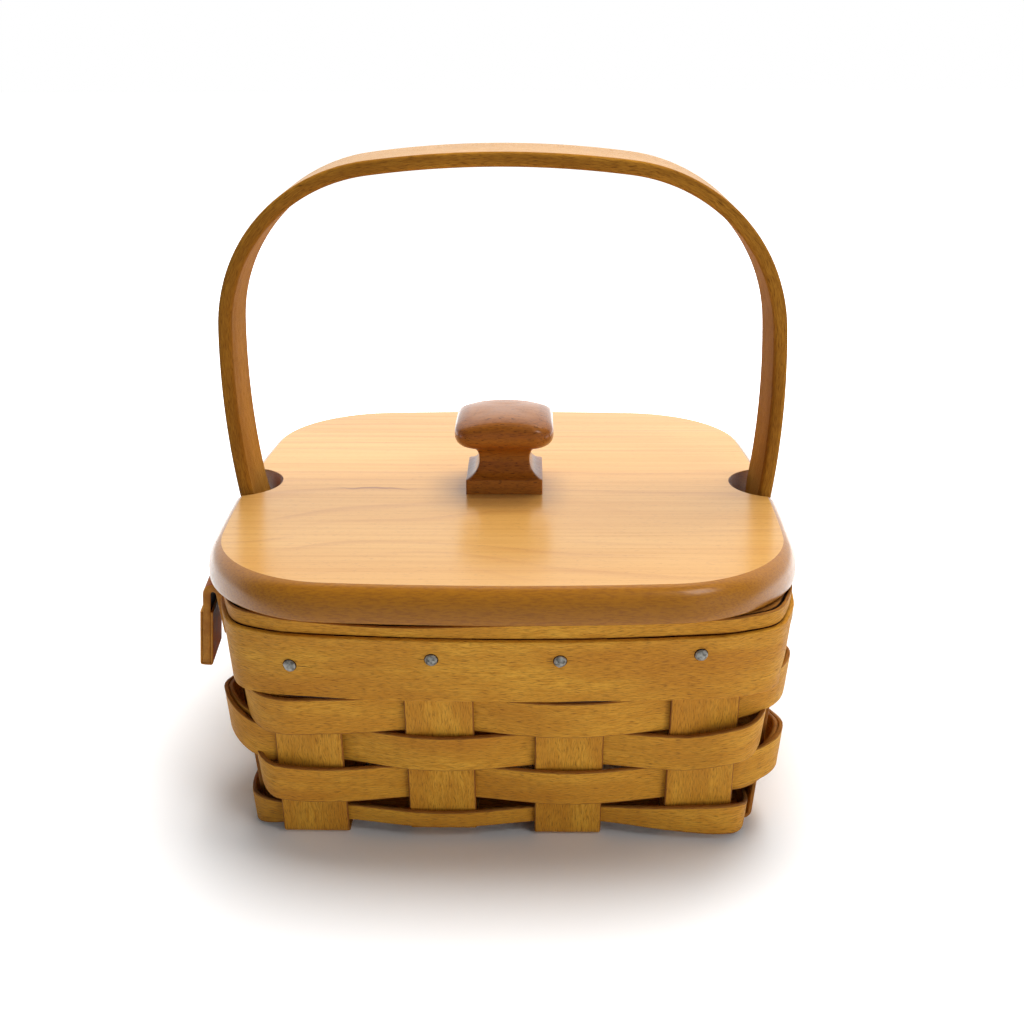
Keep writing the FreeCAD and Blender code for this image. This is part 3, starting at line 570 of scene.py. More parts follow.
def make_bands(wood, edge, gap_shade):
    make_ring("outer_band_strip", ["outer_band"], band_stations(outer_band_offset), (OUTER_LOW, OUTER_TOP),
              BAND_THICKNESS, 6, (wood, wood))
    # The inner band's outer face is drawn nearly black: painted shade for the gap under the lid, where the
    # lip dips.
    make_ring("inner_band_strip", ["inner_band"], band_stations(inner_band_offset), (INNER_LOW, RIM_HEIGHT),
              BAND_THICKNESS, 7, (gap_shade, edge, wood))
    make_ring("inner_band_lip", [], band_stations(lip_offset), (OUTER_TOP + LIP_GAP, RIM_HEIGHT),
              LIP_THICKNESS, 8, (wood, edge), band_stations(lip_offset, lip_lift))


# Tacks, whose dark collar is iron stain with painted contact shade, and the dark splits and painted shadow
# lines near them. Collar and dome are (share of the head's radius, height) pairs.

TACK_HEAD = 3.3
TACK_COLLAR = ((1.17, -0.1), (1.12, 0.05), (0.9, 0.1))
TACK_DOME = ((1.0, 0.12), (1.03, 0.34), (0.95, 0.6), (0.7, 0.86), (0.36, 1.0))
TACK_SIDES = 20
DENT_SIZE = 1.6
DENT_ASIDE, DENT_DEPTH = 0.09, 0.16
FRONT_TACKS = ((-57.2, 58.2), (-19.2, 61.7), (14.5, 61.5), (51.5, 62.4))
RIM_TACK_HEIGHT = 60.0
TACK_STRAY = 1.6
LEG_REACH = 22.0


def add_tack(skin, wall, along, height, face, seed):
    """A hammered, slightly uneven domed head on a wall, with a dark collar round it: iron stain in the wood
    and painted contact shade under the head's rim.
    """
    seat = wall_point(wall, along, face, height)
    out = wall_normal(wall, along, height)
    side = out.orthogonal().normalized()
    aside = out.cross(side)
    slots = [1] * len(TACK_COLLAR) + [0] * len(TACK_DOME)
    rings = []
    for (share, rise), slot in zip(TACK_COLLAR + TACK_DOME, slots):
        ring = []
        for turn in circle(TACK_SIDES):
            dent = 0.0
            if slot == 0:
                dent = wander(DENT_SIZE * cos(turn), DENT_SIZE * sin(turn), seed + rise)
            away = (side * cos(turn) + aside * sin(turn)) * share * TACK_HEAD / 2
            ring.append(seat + away * (1 + DENT_ASIDE * dent) + out * (rise + DENT_DEPTH * dent))
        rings.append(ring)
    skin.add_rings(rings, slots)


def rim_tack_spots():
    """(wall, along, height) of each rim tack: the front row as listed, the others driven a little astray.
    """
    spots = [(FRONT, along, height) for along, height in FRONT_TACKS]
    draw = random.Random(5)
    for number in range(STAKES_A_SIDE, STAKES):
        along = stake_along(number) + draw.uniform(-TACK_STRAY, TACK_STRAY)
        height = RIM_TACK_HEIGHT + draw.uniform(-TACK_STRAY, TACK_STRAY)
        spots.append((number // STAKES_A_SIDE, along, height))
    return spots


def handle_tack_spots():
    """(wall, along, height) of the two tacks through each leg of the handle."""
    low = RIM_HEIGHT - LEG_REACH
    return [(wall, 0, low + share * (OUTER_TOP - low)) for wall in (RIGHT, LEFT) for share in (0.25, 0.75)]


def make_tacks(name, node, spots, face, seeds, looks):
    """The heads of one group of tacks, each with dents of its own."""
    skin = Skin()
    for spot, seed in zip(spots, seeds):
        add_tack(skin, *spot, face, seed)
    place_piece(skin.make(name, *looks), "basket", "tack_steel", node)


# Dark slivers on the bands: short splits beside the tacks, dark as painted shade in the crack, and the two
# long ones near 48 mm, painted shadow lines where the outer band's lower edge stands off the row below.
# Columns: (wall, start along, end along, start height, end height, width)
SLIVER_RELIEF = 0.08
SLIVER_TIP = 0.08
SLIVER_FULLNESS = 0.7
SPLITS_AND_SHADOW_LINES = (
    (FRONT, -55.4, -51.0, 58.1, 57.9, 0.13),
    (FRONT, -22.6, -21.0, 61.7, 61.7, 0.1),
    (FRONT, 10.8, 12.8, 61.5, 61.5, 0.12),
    (FRONT, 16.2, 18.2, 61.5, 61.6, 0.1),
    (FRONT, -62.0, -42.6, 48.5, 48.2, 0.4),
    (FRONT, 14.0, 30.8, 48.2, 48.4, 0.36),
    (RIGHT, -48.0, -43.5, 60.2, 60.3, 0.14),
    (BACK, 19.8, 24.0, 59.8, 59.6, 0.14),
    (LEFT, -12.0, -7.5, 60.4, 60.3, 0.14),
)


def make_splits_and_shadow_lines(material):
    """Thin dark slivers on the bands: splits dark with painted shade in the crack, and painted shadow lines
    along the outer band's lower edge.
    """
    skin = Skin()
    for wall, start, end, low, high, width in SPLITS_AND_SHADOW_LINES:
        lows, highs = [], []
        for share in steps(0, 1, 12):
            along = start + (end - start) * share
            height = low + (high - low) * share
            half = width / 2 * max(SLIVER_TIP, sin(pi * share) ** SLIVER_FULLNESS)
            lows.append(wall_point(wall, along, BAND_FACE, height - half))
            highs.append(wall_point(wall, along, BAND_FACE, height + half))
        add_strip(skin, lows, highs, SLIVER_RELIEF, edge=SLIVER_RELIEF / 4)
    place_piece(skin.make("band_splits_and_shadow_lines", material), "basket", "splint")


# Handle

HANDLE_LOW, HANDLE_TOP = node_span("handle")
HANDLE_SPREAD = 2.8
HANDLE_EDGE = 1.2
HANDLE_GRAIN = 400.0
LEG_RADIUS = 258.0
SHOULDER_RADIUS = 52.7
CROWN_RADIUS = 300.0
LEAN_FROM = 66.0
LEAN_RUN = 16.0
LEAN_STEP = 1.4
LEAN_SLOPE = 0.0117
CROWN_ROLL_FROM = 150.0
CROWN_ROLL = (-0.8, 0.4)


def handle_lean(height):
    """The handle leans to the left a little above the rim."""
    past = max(0.0, height - LEAN_FROM - LEAN_RUN)
    return -LEAN_STEP * smooth((height - LEAN_FROM) / LEAN_RUN) - LEAN_SLOPE * past


def leg_face(height):
    """Outer face of a handle leg, which lies inside the upright splints."""
    return wall_half(LEG_HALF, height) - STAKE_THICKNESS / 2 - SEAT_GAP


def arc_points(centre, start, end, count):
    """Points of an arc from start to end about a centre, in the plane of the handle."""
    first = atan2(start.z - centre.z, start.x - centre.x)
    last = atan2(end.z - centre.z, end.x - centre.x)
    radius = (start - centre).length
    return [centre + Vector((radius * cos(turn), 0, radius * sin(turn)))
            for turn in steps(first, last, count)]


def handle_half():
    """Half of the handle's outer line, from the right foot to the crown: a line and three tangent arcs."""
    slope = (leg_face(RIM_HEIGHT) - leg_face(0)) / RIM_HEIGHT
    leg_way = Vector((slope, 0, 1)).normalized()
    leg_out = Vector((leg_way.z, 0, -leg_way.x))
    touch_x = RIM_HALF + HANDLE_SPREAD - LEG_RADIUS + LEG_RADIUS * leg_out.x
    touch = Vector((touch_x, 0, (touch_x - leg_face(0)) / slope))
    leg_centre = touch - leg_out * LEG_RADIUS
    crown_centre = up(HANDLE_TOP - CROWN_RADIUS)
    apart = crown_centre - leg_centre
    near = LEG_RADIUS - SHOULDER_RADIUS
    far = CROWN_RADIUS - SHOULDER_RADIUS
    along = (near ** 2 - far ** 2 + apart.length ** 2) / (2 * apart.length)
    aside = sqrt(near ** 2 - along ** 2)
    way = apart.normalized()
    shoulder_centre = leg_centre + way * along + Vector((-way.z, 0, way.x)) * aside
    leg_end = leg_centre + (shoulder_centre - leg_centre).normalized() * LEG_RADIUS
    crown_start = crown_centre + (shoulder_centre - crown_centre).normalized() * CROWN_RADIUS
    crown_top = crown_centre + up(CROWN_RADIUS)
    foot = Vector((leg_face(HANDLE_LOW), 0, HANDLE_LOW))
    line = [foot + (touch - foot) * share for share in steps(0, 1, 12)]
    line += arc_points(leg_centre, touch, leg_end, 40)[1:]
    line += arc_points(shoulder_centre, leg_end, crown_start, 30)[1:]
    line += arc_points(crown_centre, crown_start, crown_top, 24)[1:]
    return line


def make_handle(woods):
    half = handle_half()
    outer = [Vector((-point.x, 0, point.z)) for point in half] + half[-2::-1]
    middle = []
    for index, point in enumerate(outer):
        tangent = outer[min(index + 1, len(outer) - 1)] - outer[max(index - 1, 0)]
        inward = Vector((tangent.z, 0, -tangent.x)).normalized()
        spot = point + inward * HANDLE_THICKNESS / 2
        middle.append(spot + Vector((handle_lean(spot.z), 0, 0)))
    rolls = [smooth((point.z - CROWN_ROLL_FROM) / (HANDLE_TOP - CROWN_ROLL_FROM)) for point in middle]
    edges = [[point + Vector((0, aside, rise * roll)) for point, roll in zip(middle, rolls)]
             for aside, rise in zip((-LEG_HALF, LEG_HALF), CROWN_ROLL)]
    bow = make_strip("handle_bow", edges, HANDLE_THICKNESS, woods, HANDLE_EDGE, HANDLE_GRAIN)
    place_piece(bow, "basket", "handle_wood", "handle")


# Lid board

LID_LOW, LID_TOP = node_span("lid_board")
LID_HALF = node_span("lid_board", axis=0)[1]
LID_SIDE_RADIUS = 630.0
LID_CORNER = 40.6
LID_SHIFT = Vector((-1.5, 0, 0))
NOTCH_RADIUS = 13.6
NOTCH_DEPTH = 14.0
NOTCH_SIDES = 72
NOTCH_PAST = 5.0
LID_SHARP_ANGLE = 13
LID_BEVEL_ANGLE = 50
ROUND_INSET = 3.9
ROUND_TURN = radians(72)
FOOT_ROUND = 1.0
UPRIGHT = 1.6


def lid_outline():
    """(point, outward direction) pairs round the lid: bowed sides and round corners, all tangent."""
    back = LID_SIDE_RADIUS - LID_HALF
    centre = (-back + sqrt(2 * (LID_SIDE_RADIUS - LID_CORNER) ** 2 - back ** 2)) / 2
    side_turn = atan2(centre, centre + back)
    side = (Vector((-back, 0, 0)), LID_SIDE_RADIUS, steps(-side_turn, side_turn, 36))
    corner = (Vector((centre, centre, 0)), LID_CORNER, steps(side_turn, pi / 2 - side_turn, 24))
    outline = []
    for wall in range(WALLS):
        for middle, radius, turns in (side, corner):
            for turn in turns[:-1]:
                way = Vector((cos(turn), sin(turn), 0))
                outline.append((turned(middle + way * radius, wall), turned(way, wall)))
    return outline


def lid_profile():
    """(inset, height) pairs up the lid's edge: a small foot round, a short upright and a rounded top."""
    upright = LID_LOW + FOOT_ROUND + UPRIGHT
    reach = ROUND_INSET / (1 - cos(ROUND_TURN))
    rise = (LID_TOP - upright) / sin(ROUND_TURN)
    foot = arc((FOOT_ROUND, LID_LOW + FOOT_ROUND), (-FOOT_ROUND, -FOOT_ROUND), pi / 2, 0, 4)
    return foot + arc((reach, upright), (-reach, rise), 0, ROUND_TURN, 12)


def lid_blank():
    """The lid board before its notches are cut."""
    skin = Skin()
    outline = lid_outline()
    skin.add_rings([[point - way * inset + up(height) + LID_SHIFT for point, way in outline]
                    for inset, height in lid_profile()])
    return skin


def notch_tool():
    """Two upright cylinders that cut the lid's notches."""
    skin = Skin()
    ends = (LID_LOW - NOTCH_PAST, LID_TOP + NOTCH_PAST)
    for side in (-1, 1):
        middle = Vector((side * (LID_HALF - NOTCH_DEPTH + NOTCH_RADIUS), 0, 0)) + LID_SHIFT
        ways = [Vector((cos(turn), sin(turn), 0)) for turn in circle(NOTCH_SIDES)]
        outline = [middle + way * NOTCH_RADIUS for way in ways]
        skin.add_rings([[point + up(height) for point in outline] for height in ends])
    return skin


def add_modifier(piece, kind, **settings):
    modifier = piece.modifiers.new(kind.lower(), kind)
    for key, value in settings.items():
        setattr(modifier, key, value)


def applied(piece):
    """Makes the piece's modifiers part of its mesh."""
    graph = bpy.context.evaluated_depsgraph_get()
    mesh = bpy.data.meshes.new_from_object(piece.evaluated_get(graph))
    piece.modifiers.clear()
    piece.data = mesh
    return mesh


def make_lid(material):
    board = lid_blank().make("lid_panel", material)
    tool = notch_tool().make("notch_tool")
    add_modifier(board, "BOOLEAN", operation="DIFFERENCE", solver="EXACT", object=tool)
    add_modifier(board, "BEVEL", width=EDGE_ROUND * MM, segments=2, limit_method="ANGLE",
                 angle_limit=radians(LID_BEVEL_ANGLE))
    mesh = applied(board)
    bpy.data.objects.remove(tool)
    shade(mesh, LID_SHARP_ANGLE)
    place_piece(board, "lid", "lid_wood", "lid_board")


# Knob

KNOB_RAISE = 0.7
KNOB_TOP = node_span("lid_knob")[1] - LID_TOP + KNOB_RAISE
KNOB_SHARP_ANGLE = 50
KNOB_BASE = 11.8
KNOB_BASE_HEIGHT = 4.8
KNOB_NECK = 7.8
KNOB_COVE_TOP = 9.8
KNOB_WAIST = 10.6
KNOB_BROW = 11.4
KNOB_BROW_HEIGHT = 14.7
KNOB_CAP = 15.1
KNOB_CAP_HEIGHT = 18.7
KNOB_ROUND = 0.4
BASE_SHARE, COVE_SHARE, BROW_SHARE = 0.06, 0.08, 0.1
CAP_CORNER = 0.4
CAP_CORNER_FALL = 0.4
CAP_FULLNESS = 3.2


def knob_profile():
    """(half width, height, corner share) up the knob: square base, coved neck and the cap's underside."""
    edge = (KNOB_BASE - KNOB_ROUND, KNOB_BASE_HEIGHT - KNOB_ROUND)
    base = [(KNOB_BASE, 0.0)] + arc(edge, (KNOB_ROUND, KNOB_ROUND), 0, pi / 2, 4)
    rise = KNOB_COVE_TOP - KNOB_BASE_HEIGHT
    cove_turn = 2 * atan((edge[0] - KNOB_NECK) / rise)
    bend = rise / sin(cove_turn)
    cove = arc((KNOB_NECK + bend, KNOB_COVE_TOP), (-bend, -bend), cove_turn, 0, 12)[1:]
    brow_reach = (KNOB_NECK - KNOB_BROW, KNOB_BROW_HEIGHT - KNOB_WAIST)
    brow = arc((KNOB_BROW, KNOB_WAIST), brow_reach, 0, pi / 2, 12)
    cap_reach = (KNOB_CAP - KNOB_BROW, KNOB_BROW_HEIGHT - KNOB_CAP_HEIGHT)
    cap = arc((KNOB_BROW, KNOB_CAP_HEIGHT), cap_reach, pi / 2, 0, 8)[1:]
    brow_shares = [BROW_SHARE + (CAP_CORNER - BROW_SHARE) * share ** 3 for share in steps(0, 1, 12)]
    shares = [BASE_SHARE] * len(base) + [COVE_SHARE] * len(cove) + brow_shares + [CAP_CORNER] * len(cap)
    return [(*spot, share) for spot, share in zip(base + cove + brow + cap, shares)]


def knob_dome():
    """Rings of points over the cap's pillow-shaped top, which is lower towards its corners."""
    rings = []
    for turn in steps(pi / 2, 0, 20)[1:-1]:
        share = sin(turn) ** (2 / CAP_FULLNESS)
        height = cos(turn) ** (2 / CAP_FULLNESS)
        ring = []
        for point in square_ring(KNOB_CAP * share, KNOB_CAP * share * CAP_CORNER):
            corner = (point.x * point.y) ** 2 / (KNOB_CAP * share) ** 4
            rise = (KNOB_TOP - KNOB_CAP_HEIGHT) * height * (1 - CAP_CORNER_FALL * share ** 2 * corner)
            ring.append(point + up(KNOB_CAP_HEIGHT + rise))
        rings.append(ring)
    return rings


def square_ring(half, corner):
    """Points round a square with round corners."""
    points = []
    for wall in range(WALLS):
        for along in steps(-(half - corner), half - corner, 8)[:-1]:
            points.append(turned(Vector((along, -half, 0)), wall))
        for turn in steps(-pi / 2, 0, 8)[:-1]:
            middle = Vector((half - corner, corner - half, 0))
            points.append(turned(middle + Vector((cos(turn), sin(turn), 0)) * corner, wall))
    return points


def make_knob(material):
    skin = Skin()
    sides = [[point + up(height) for point in square_ring(half, half * corner_share)]
             for half, height, corner_share in knob_profile()]
    place = LID_SHIFT + up(LID_TOP)
    skin.add_rings([[point + place for point in ring] for ring in sides + knob_dome()])
    knob = skin.make("knob_turning", material, sharp_angle=KNOB_SHARP_ANGLE)
    place_piece(knob, "lid", "knob_wood", "lid_knob")


# Leather tab

STRAP_PLACE = WALL_END - 23.6
STRAP_WIDTH = 17.0
STRAP_THICKNESS = 2.2
STRAP_GAP = 0.9
STRAP_OFFSET = BAND_FACE + STRAP_GAP + STRAP_THICKNESS / 2
STRAP_FACE = STRAP_OFFSET + STRAP_THICKNESS / 2
STRAP_TURN = 1.9
STRAP_FOLD = RIM_HEIGHT - 7.6
STRAP_LOW = STRAP_FOLD - 12.1
FLAP_LOW = STRAP_FOLD - 22.0
FLAP_TILT = radians(5.0)
FLAP_WAY = Vector((sin(FLAP_TILT), -cos(FLAP_TILT)))
SLEEVE_HEIGHT = 16.4
SLEEVE_THICKNESS = 0.7
SLEEVE_GAP = 0.06
SLEEVE_EDGE = 0.2
FOOT_TURN_SHARE = 0.6
FLAP_GRAIN = 20.0
SLEEVE_GRAIN = 60.0


def leather_edges(line_at):
    """The long edges of a leather strip, whose (distance, height) line depends on its place on the wall."""
    edges = []
    for side in (-1, 1):
        along = STRAP_PLACE + side * STRAP_WIDTH / 2
        line = line_at(along)
        edges.append([turned(Vector((along, -distance, height)), LEFT) for distance, height in line])
    return edges


def strap_line(along):
    """The fixed leather's line: up the outside of the outer band and over the fold."""
    heights = steps(STRAP_LOW, STRAP_FOLD, 10)
    band = [Vector((wall_half(along, height) + STRAP_OFFSET, height)) for height in heights]
    lean = atan2(*(band[-1] - band[0]))
    centre = band[-1] + STRAP_TURN * Vector((cos(lean), -sin(lean)))
    fold = [centre + STRAP_TURN * Vector((cos(angle), sin(angle)))
            for angle in steps(pi - lean, FLAP_TILT, 18)]
    return band + fold[1:] + [fold[-1] + STRAP_TURN * FLAP_WAY]


def flap_line(along):
    """The flap's line, from the fold's end down to its foot."""
    start = strap_line(along)[-1]
    drop = (start.y - FLAP_LOW) / cos(FLAP_TILT)
    return [start + fall * FLAP_WAY for fall in steps(0, drop, 24)]


def sleeve_line(along):
    """The sleeve's line: down the inside of the flap, round its lower end and up the outside."""
    foot = flap_line(along)[-1]
    turn = (STRAP_THICKNESS + SLEEVE_THICKNESS) / 2 + SLEEVE_GAP
    across = Vector((-FLAP_WAY.y, FLAP_WAY.x))
    foot_turn = SLEEVE_THICKNESS * FOOT_TURN_SHARE
    flat = turn - foot_turn
    rises = steps(0, SLEEVE_HEIGHT, 10)
    bend = (foot_turn, foot_turn)
    spots = [(-turn, rise) for rise in reversed(rises)]
    spots += arc((-flat, 0), bend, pi, 1.5 * pi, 6)[1:] + arc((flat, 0), bend, 1.5 * pi, 2 * pi, 6)
    spots += [(turn, rise) for rise in rises[1:]]
    return [foot + out * across - rise * FLAP_WAY for out, rise in spots]


def make_leather(hides):
    strap = make_strip("leather_fold", leather_edges(strap_line), STRAP_THICKNESS, hides)
    place_piece(strap, "basket", "leather", "leather_strap")

    edges = leather_edges(flap_line)
    flap = make_strip("leather_hanging_flap", edges, STRAP_THICKNESS, hides, grain_shift=FLAP_GRAIN)
    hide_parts("leather_flap")
    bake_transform(flap)

    sleeve = make_strip("leather_sewn_sleeve", leather_edges(sleeve_line), SLEEVE_THICKNESS, hides[:2],
                        SLEEVE_EDGE, SLEEVE_GRAIN)
    place_piece(sleeve, "leather_tab", "leather", "leather_sleeve")


def strap_tack_spots():
    """(wall, along, height) of the two tacks through the leather."""
    height = (STRAP_LOW + STRAP_FOLD) / 2
    return [(LEFT, STRAP_PLACE + side * STRAP_WIDTH / 4, height) for side in (-1, 1)]


# Materials


def colour(red, green, blue):
    """A screen colour from 0 to 255 as the linear colour that shaders take."""
    def linear(value):
        value /= 255
        return value / 12.92 if value <= 0.04045 else ((value + 0.055) / 1.055) ** 2.4
    return (linear(red), linear(green), linear(blue), 1.0)


class Nodes:
    """A short way to write a material's node tree."""

    def __init__(self, tree):
        self.tree = tree

    @classmethod
    def of_material(cls, name):
        material = bpy.data.materials.new(name)
        material.use_nodes = True
        nodes = cls(material.node_tree)
        nodes.material = material
        nodes.shader = material.node_tree.nodes["Principled BSDF"]
        return nodes

    def add(self, kind, inputs=None, **settings):
        node = self.tree.nodes.new("ShaderNode" + kind)
        for key, value in settings.items():
            setattr(node, key, value)
        for key, value in (inputs or {}).items():
            self.put(value, node.inputs[key])
        return node

    def put(self, value, socket):
        if isinstance(value, bpy.types.NodeSocket):
            self.tree.links.new(value, socket)
        else:
            socket.default_value = value

    def set(self, name, value):
        self.put(value, self.shader.inputs[name])

    def surface(self, colour, roughness, shine=0.5):
        self.set("Base Color", colour)
        self.set("Roughness", roughness)
        self.set("Specular IOR Level", shine)

    def place(self, kind="Object"):
        return self.add("TexCoord").outputs[kind]

    def axis(self, place, name):
        return self.add("SeparateXYZ", {0: place}).outputs[name]

    def stretched(self, place, scale, shift=(0, 0, 0)):
        """A texture place scaled by a different amount each way."""
        inputs = {"Vector": place, "Scale": scale, "Location": shift}
        return self.add("Mapping", inputs).outputs[0]

    def moved(self, place, aside):
        """A texture place moved along Y."""
        drift = self.add("CombineXYZ", {"Y": aside}).outputs[0]
        return self.add("VectorMath", {0: place, 1: drift}, operation="ADD").outputs[0]

    def distance(self, place):
        return self.add("VectorMath", {0: place}, operation="LENGTH").outputs["Value"]

    def noise(self, place, stretch, detail=2.0, roughness=0.5):
        inputs = {"Vector": self.stretched(place, stretch), "Scale": 1.0, "Detail": detail,
                  "Roughness": roughness}
        return self.add("TexNoise", inputs).outputs["Fac"]

    def between(self, value, low, high, start=0.0, end=1.0):
        """A value eased from start to end while it goes from low to high."""
        inputs = {"Value": value, "From Min": low, "From Max": high, "To Min": start, "To Max": end}
        return self.add("MapRange", inputs, interpolation_type="SMOOTHSTEP").outputs[0]

    def math(self, operation, first, second):
        return self.add("Math", {0: first, 1: second}, operation=operation).outputs[0]

    def times(self, first, second):
        return self.math("MULTIPLY", first, second)

    def mix(self, share, first, second, blend="MIX"):
        return self.add("Mix", {0: share, 6: first, 7: second}, data_type="RGBA",
                        blend_type=blend).outputs[2]

    def bump(self, height, strength, distance):
        inputs = {"Height": height, "Strength": strength, "Distance": distance}
        self.set("Normal", self.add("Bump", inputs).outputs[0])


def splint_material(name, *tones, gloss, shine=0.25):
    """Split hardwood whose grain follows each strip: soft bands, wavy fibres and fine dark pores."""
    pale, deep, pore = [colour(*tone) for tone in tones]
    nodes = Nodes.of_material(name)
    place = nodes.add("UVMap", uv_map="grain").outputs[0]
    sway = nodes.noise(place, (14, 30, 1))
    bent = nodes.moved(place, nodes.times(sway, 0.02))
    patches = nodes.noise(place, (2.2, 10, 1), detail=3)
    fibres = nodes.noise(bent, (14, 160, 1), detail=4, roughness=0.7)
    flecks = nodes.noise(bent, (40, 500, 1), roughness=0.6)
    pore_mask = nodes.between(flecks, 0.48, 0.7)
    wood = nodes.mix(nodes.between(patches, 0.25, 0.75), deep, pale)
    wood = nodes.mix(nodes.between(fibres, 0.42, 0.66, 0.0, 0.75), wood, deep)
    wood = nodes.mix(nodes.between(flecks, 0.3, 0.48, 0.3, 0.0), wood, pale)
    wood = nodes.mix(nodes.times(pore_mask, 0.6), wood, pore)
    nodes.surface(wood, nodes.between(fibres, 0.3, 0.7, gloss - 0.06, gloss + 0.1), shine)
    height = nodes.math("SUBTRACT", fibres, nodes.times(pore_mask, 0.6))
    nodes.bump(height, 0.4, 0.0002)
    return nodes.material


RINGS_A_METRE = 130.0


def board_material(name, *tones, gloss, line_share, pore_share, fleck_share, streak=None):
    """Varnished solid wood with its grain along X: growth lines, fibres and pores, and a darker edge colour
    on faces that turn away from level, which is painted shade.
    """
    pale, deep, line, pore, edge = [colour(*tone) for tone in tones]
    nodes = Nodes.of_material(name)
    place = nodes.place()
    depth = nodes.axis(place, "Y")
    warp = nodes.times(nodes.noise(place, (11, 14, 14), detail=1),
                      nodes.between(depth, -0.05, 0.0, 0.06, 0.01))
    ring = nodes.math("FRACT", nodes.times(nodes.math("ADD", depth, warp), RINGS_A_METRE), 0.0)
    shown = nodes.between(nodes.noise(place, (7, 70, 70), detail=1), 0.42, 0.62)
    line_mask = nodes.times(nodes.between(ring, 0.6, 0.94), nodes.between(ring, 0.94, 1.0, 1.0, 0.0))
    growth = nodes.times(line_mask, shown)
    fibres = nodes.noise(place, (9, 700, 700), detail=4, roughness=0.7)
    pores = nodes.noise(place, (560, 2800, 2800), detail=1)
    pore_mask = nodes.between(pores, 0.61, 0.71)
    wide = nodes.noise(place, (6, 26, 26))
    wood = nodes.mix(nodes.between(wide, 0.3, 0.7), deep, pale)
    wood = nodes.mix(nodes.times(growth, line_share), wood, line)
    wood = nodes.mix(nodes.between(fibres, 0.4, 0.72, 0.0, 0.3), wood, line)
    if streak:
        wood = streak(nodes, place, wood)
    # Painted shade: where the surface turns away from level (rounded edges, notch walls, the knob's sides)
    # it takes the darker edge colour.
    level = nodes.math("ABSOLUTE", nodes.axis(nodes.place("Normal"), "Z"), 0.0)
    turned_away_shade = nodes.between(level, 0.95, 0.985, 1.0, 0.0)
    flecks = nodes.noise(place, (420, 2400, 2400), detail=3, roughness=0.6)
    shaded_edge_wood = nodes.mix(nodes.between(flecks, 0.4, 0.7, 0.0, fleck_share), edge, pore)
    wood = nodes.mix(turned_away_shade, wood, shaded_edge_wood)
    wood = nodes.mix(nodes.times(pore_mask, pore_share), wood, pore)
    nodes.surface(wood, nodes.between(fibres, 0.3, 0.7, gloss - 0.05, gloss + 0.07), shine=0.2)
    nodes.set("Coat Weight", 1.0)
    nodes.set("Coat Roughness", 0.22)
    nodes.bump(nodes.math("SUBTRACT", fibres, pore_mask), 0.1, 0.0001)
    return nodes.material


STREAK_MIDDLE = (-0.0425, -0.0059)
STREAK_REACH = (0.0165, 0.0012)


def mineral_streak(nodes, place, wood):
    """A dark mineral streak on the lid's left, broken up along the grain."""
    wiggle = nodes.math("SUBTRACT", nodes.noise(place, (75, 0, 0)), 0.5)
    bent = nodes.moved(place, nodes.times(wiggle, 0.007))
    scale = [1 / reach for reach in STREAK_REACH]
    shift = [-middle / reach for middle, reach in zip(STREAK_MIDDLE, STREAK_REACH)]
    away = nodes.distance(nodes.stretched(bent, (*scale, 0), (*shift, 0)))
    return nodes.mix(nodes.between(away, 0.2, 1.0, 0.75, 0.0), wood, colour(140, 84, 44))


def leather_material(name, *tones, gloss):
    """Smooth hide with patches of two tones and a fine pebbled grain."""
    pale, deep = [colour(*tone) for tone in tones]
    nodes = Nodes.of_material(name)
    place = nodes.place()
    patches = nodes.noise(place, (240, 240, 240), detail=3)
    grain = nodes.add("TexVoronoi", {"Vector": place, "Scale": 1500}).outputs["Distance"]
    hide = nodes.mix(nodes.between(patches, 0.3, 0.7), deep, pale)
    hide = nodes.mix(nodes.between(grain, 0.2, 0.8, 0.0, 0.3), hide, deep)
    nodes.surface(hide, nodes.between(patches, 0.3, 0.7, gloss - 0.08, gloss + 0.08), shine=0.2)
    nodes.bump(grain, 0.4, 0.0002)
    return nodes.material


def steel_material():
    """Dull tack steel with random patches of dark scale."""
    nodes = Nodes.of_material("tack_steel")
    scale = nodes.noise(nodes.place(), (900, 900, 900), detail=3)
    metal = nodes.mix(nodes.between(scale, 0.35, 0.7), colour(184, 184, 178), colour(96, 94, 88))
    nodes.surface(metal, nodes.between(scale, 0.3, 0.7, 0.36, 0.55))
    nodes.set("Metallic", 0.4)
    nodes.bump(scale, 0.4, 0.0002)
    return nodes.material


def stain_and_shade_material():
    """Nearly black wood: painted shade in the splits, along the outer band's lower edge and in the gap
    under the lid, and iron stain with painted contact shade round the tacks.
    """
    nodes = Nodes.of_material("stain_and_painted_shade")
    mottle = nodes.noise(nodes.place(), (1500, 1500, 1500))
    nodes.surface(nodes.mix(mottle, colour(38, 22, 10), colour(70, 42, 20)), 0.8)
    return nodes.material


# The object

splint_wood = splint_material("splint_wood", (223, 165, 55), (192, 126, 33), (104, 58, 12), gloss=0.6)
splint_edge = splint_material("splint_edge", (176, 116, 44), (140, 86, 28), (90, 50, 14), gloss=0.65)
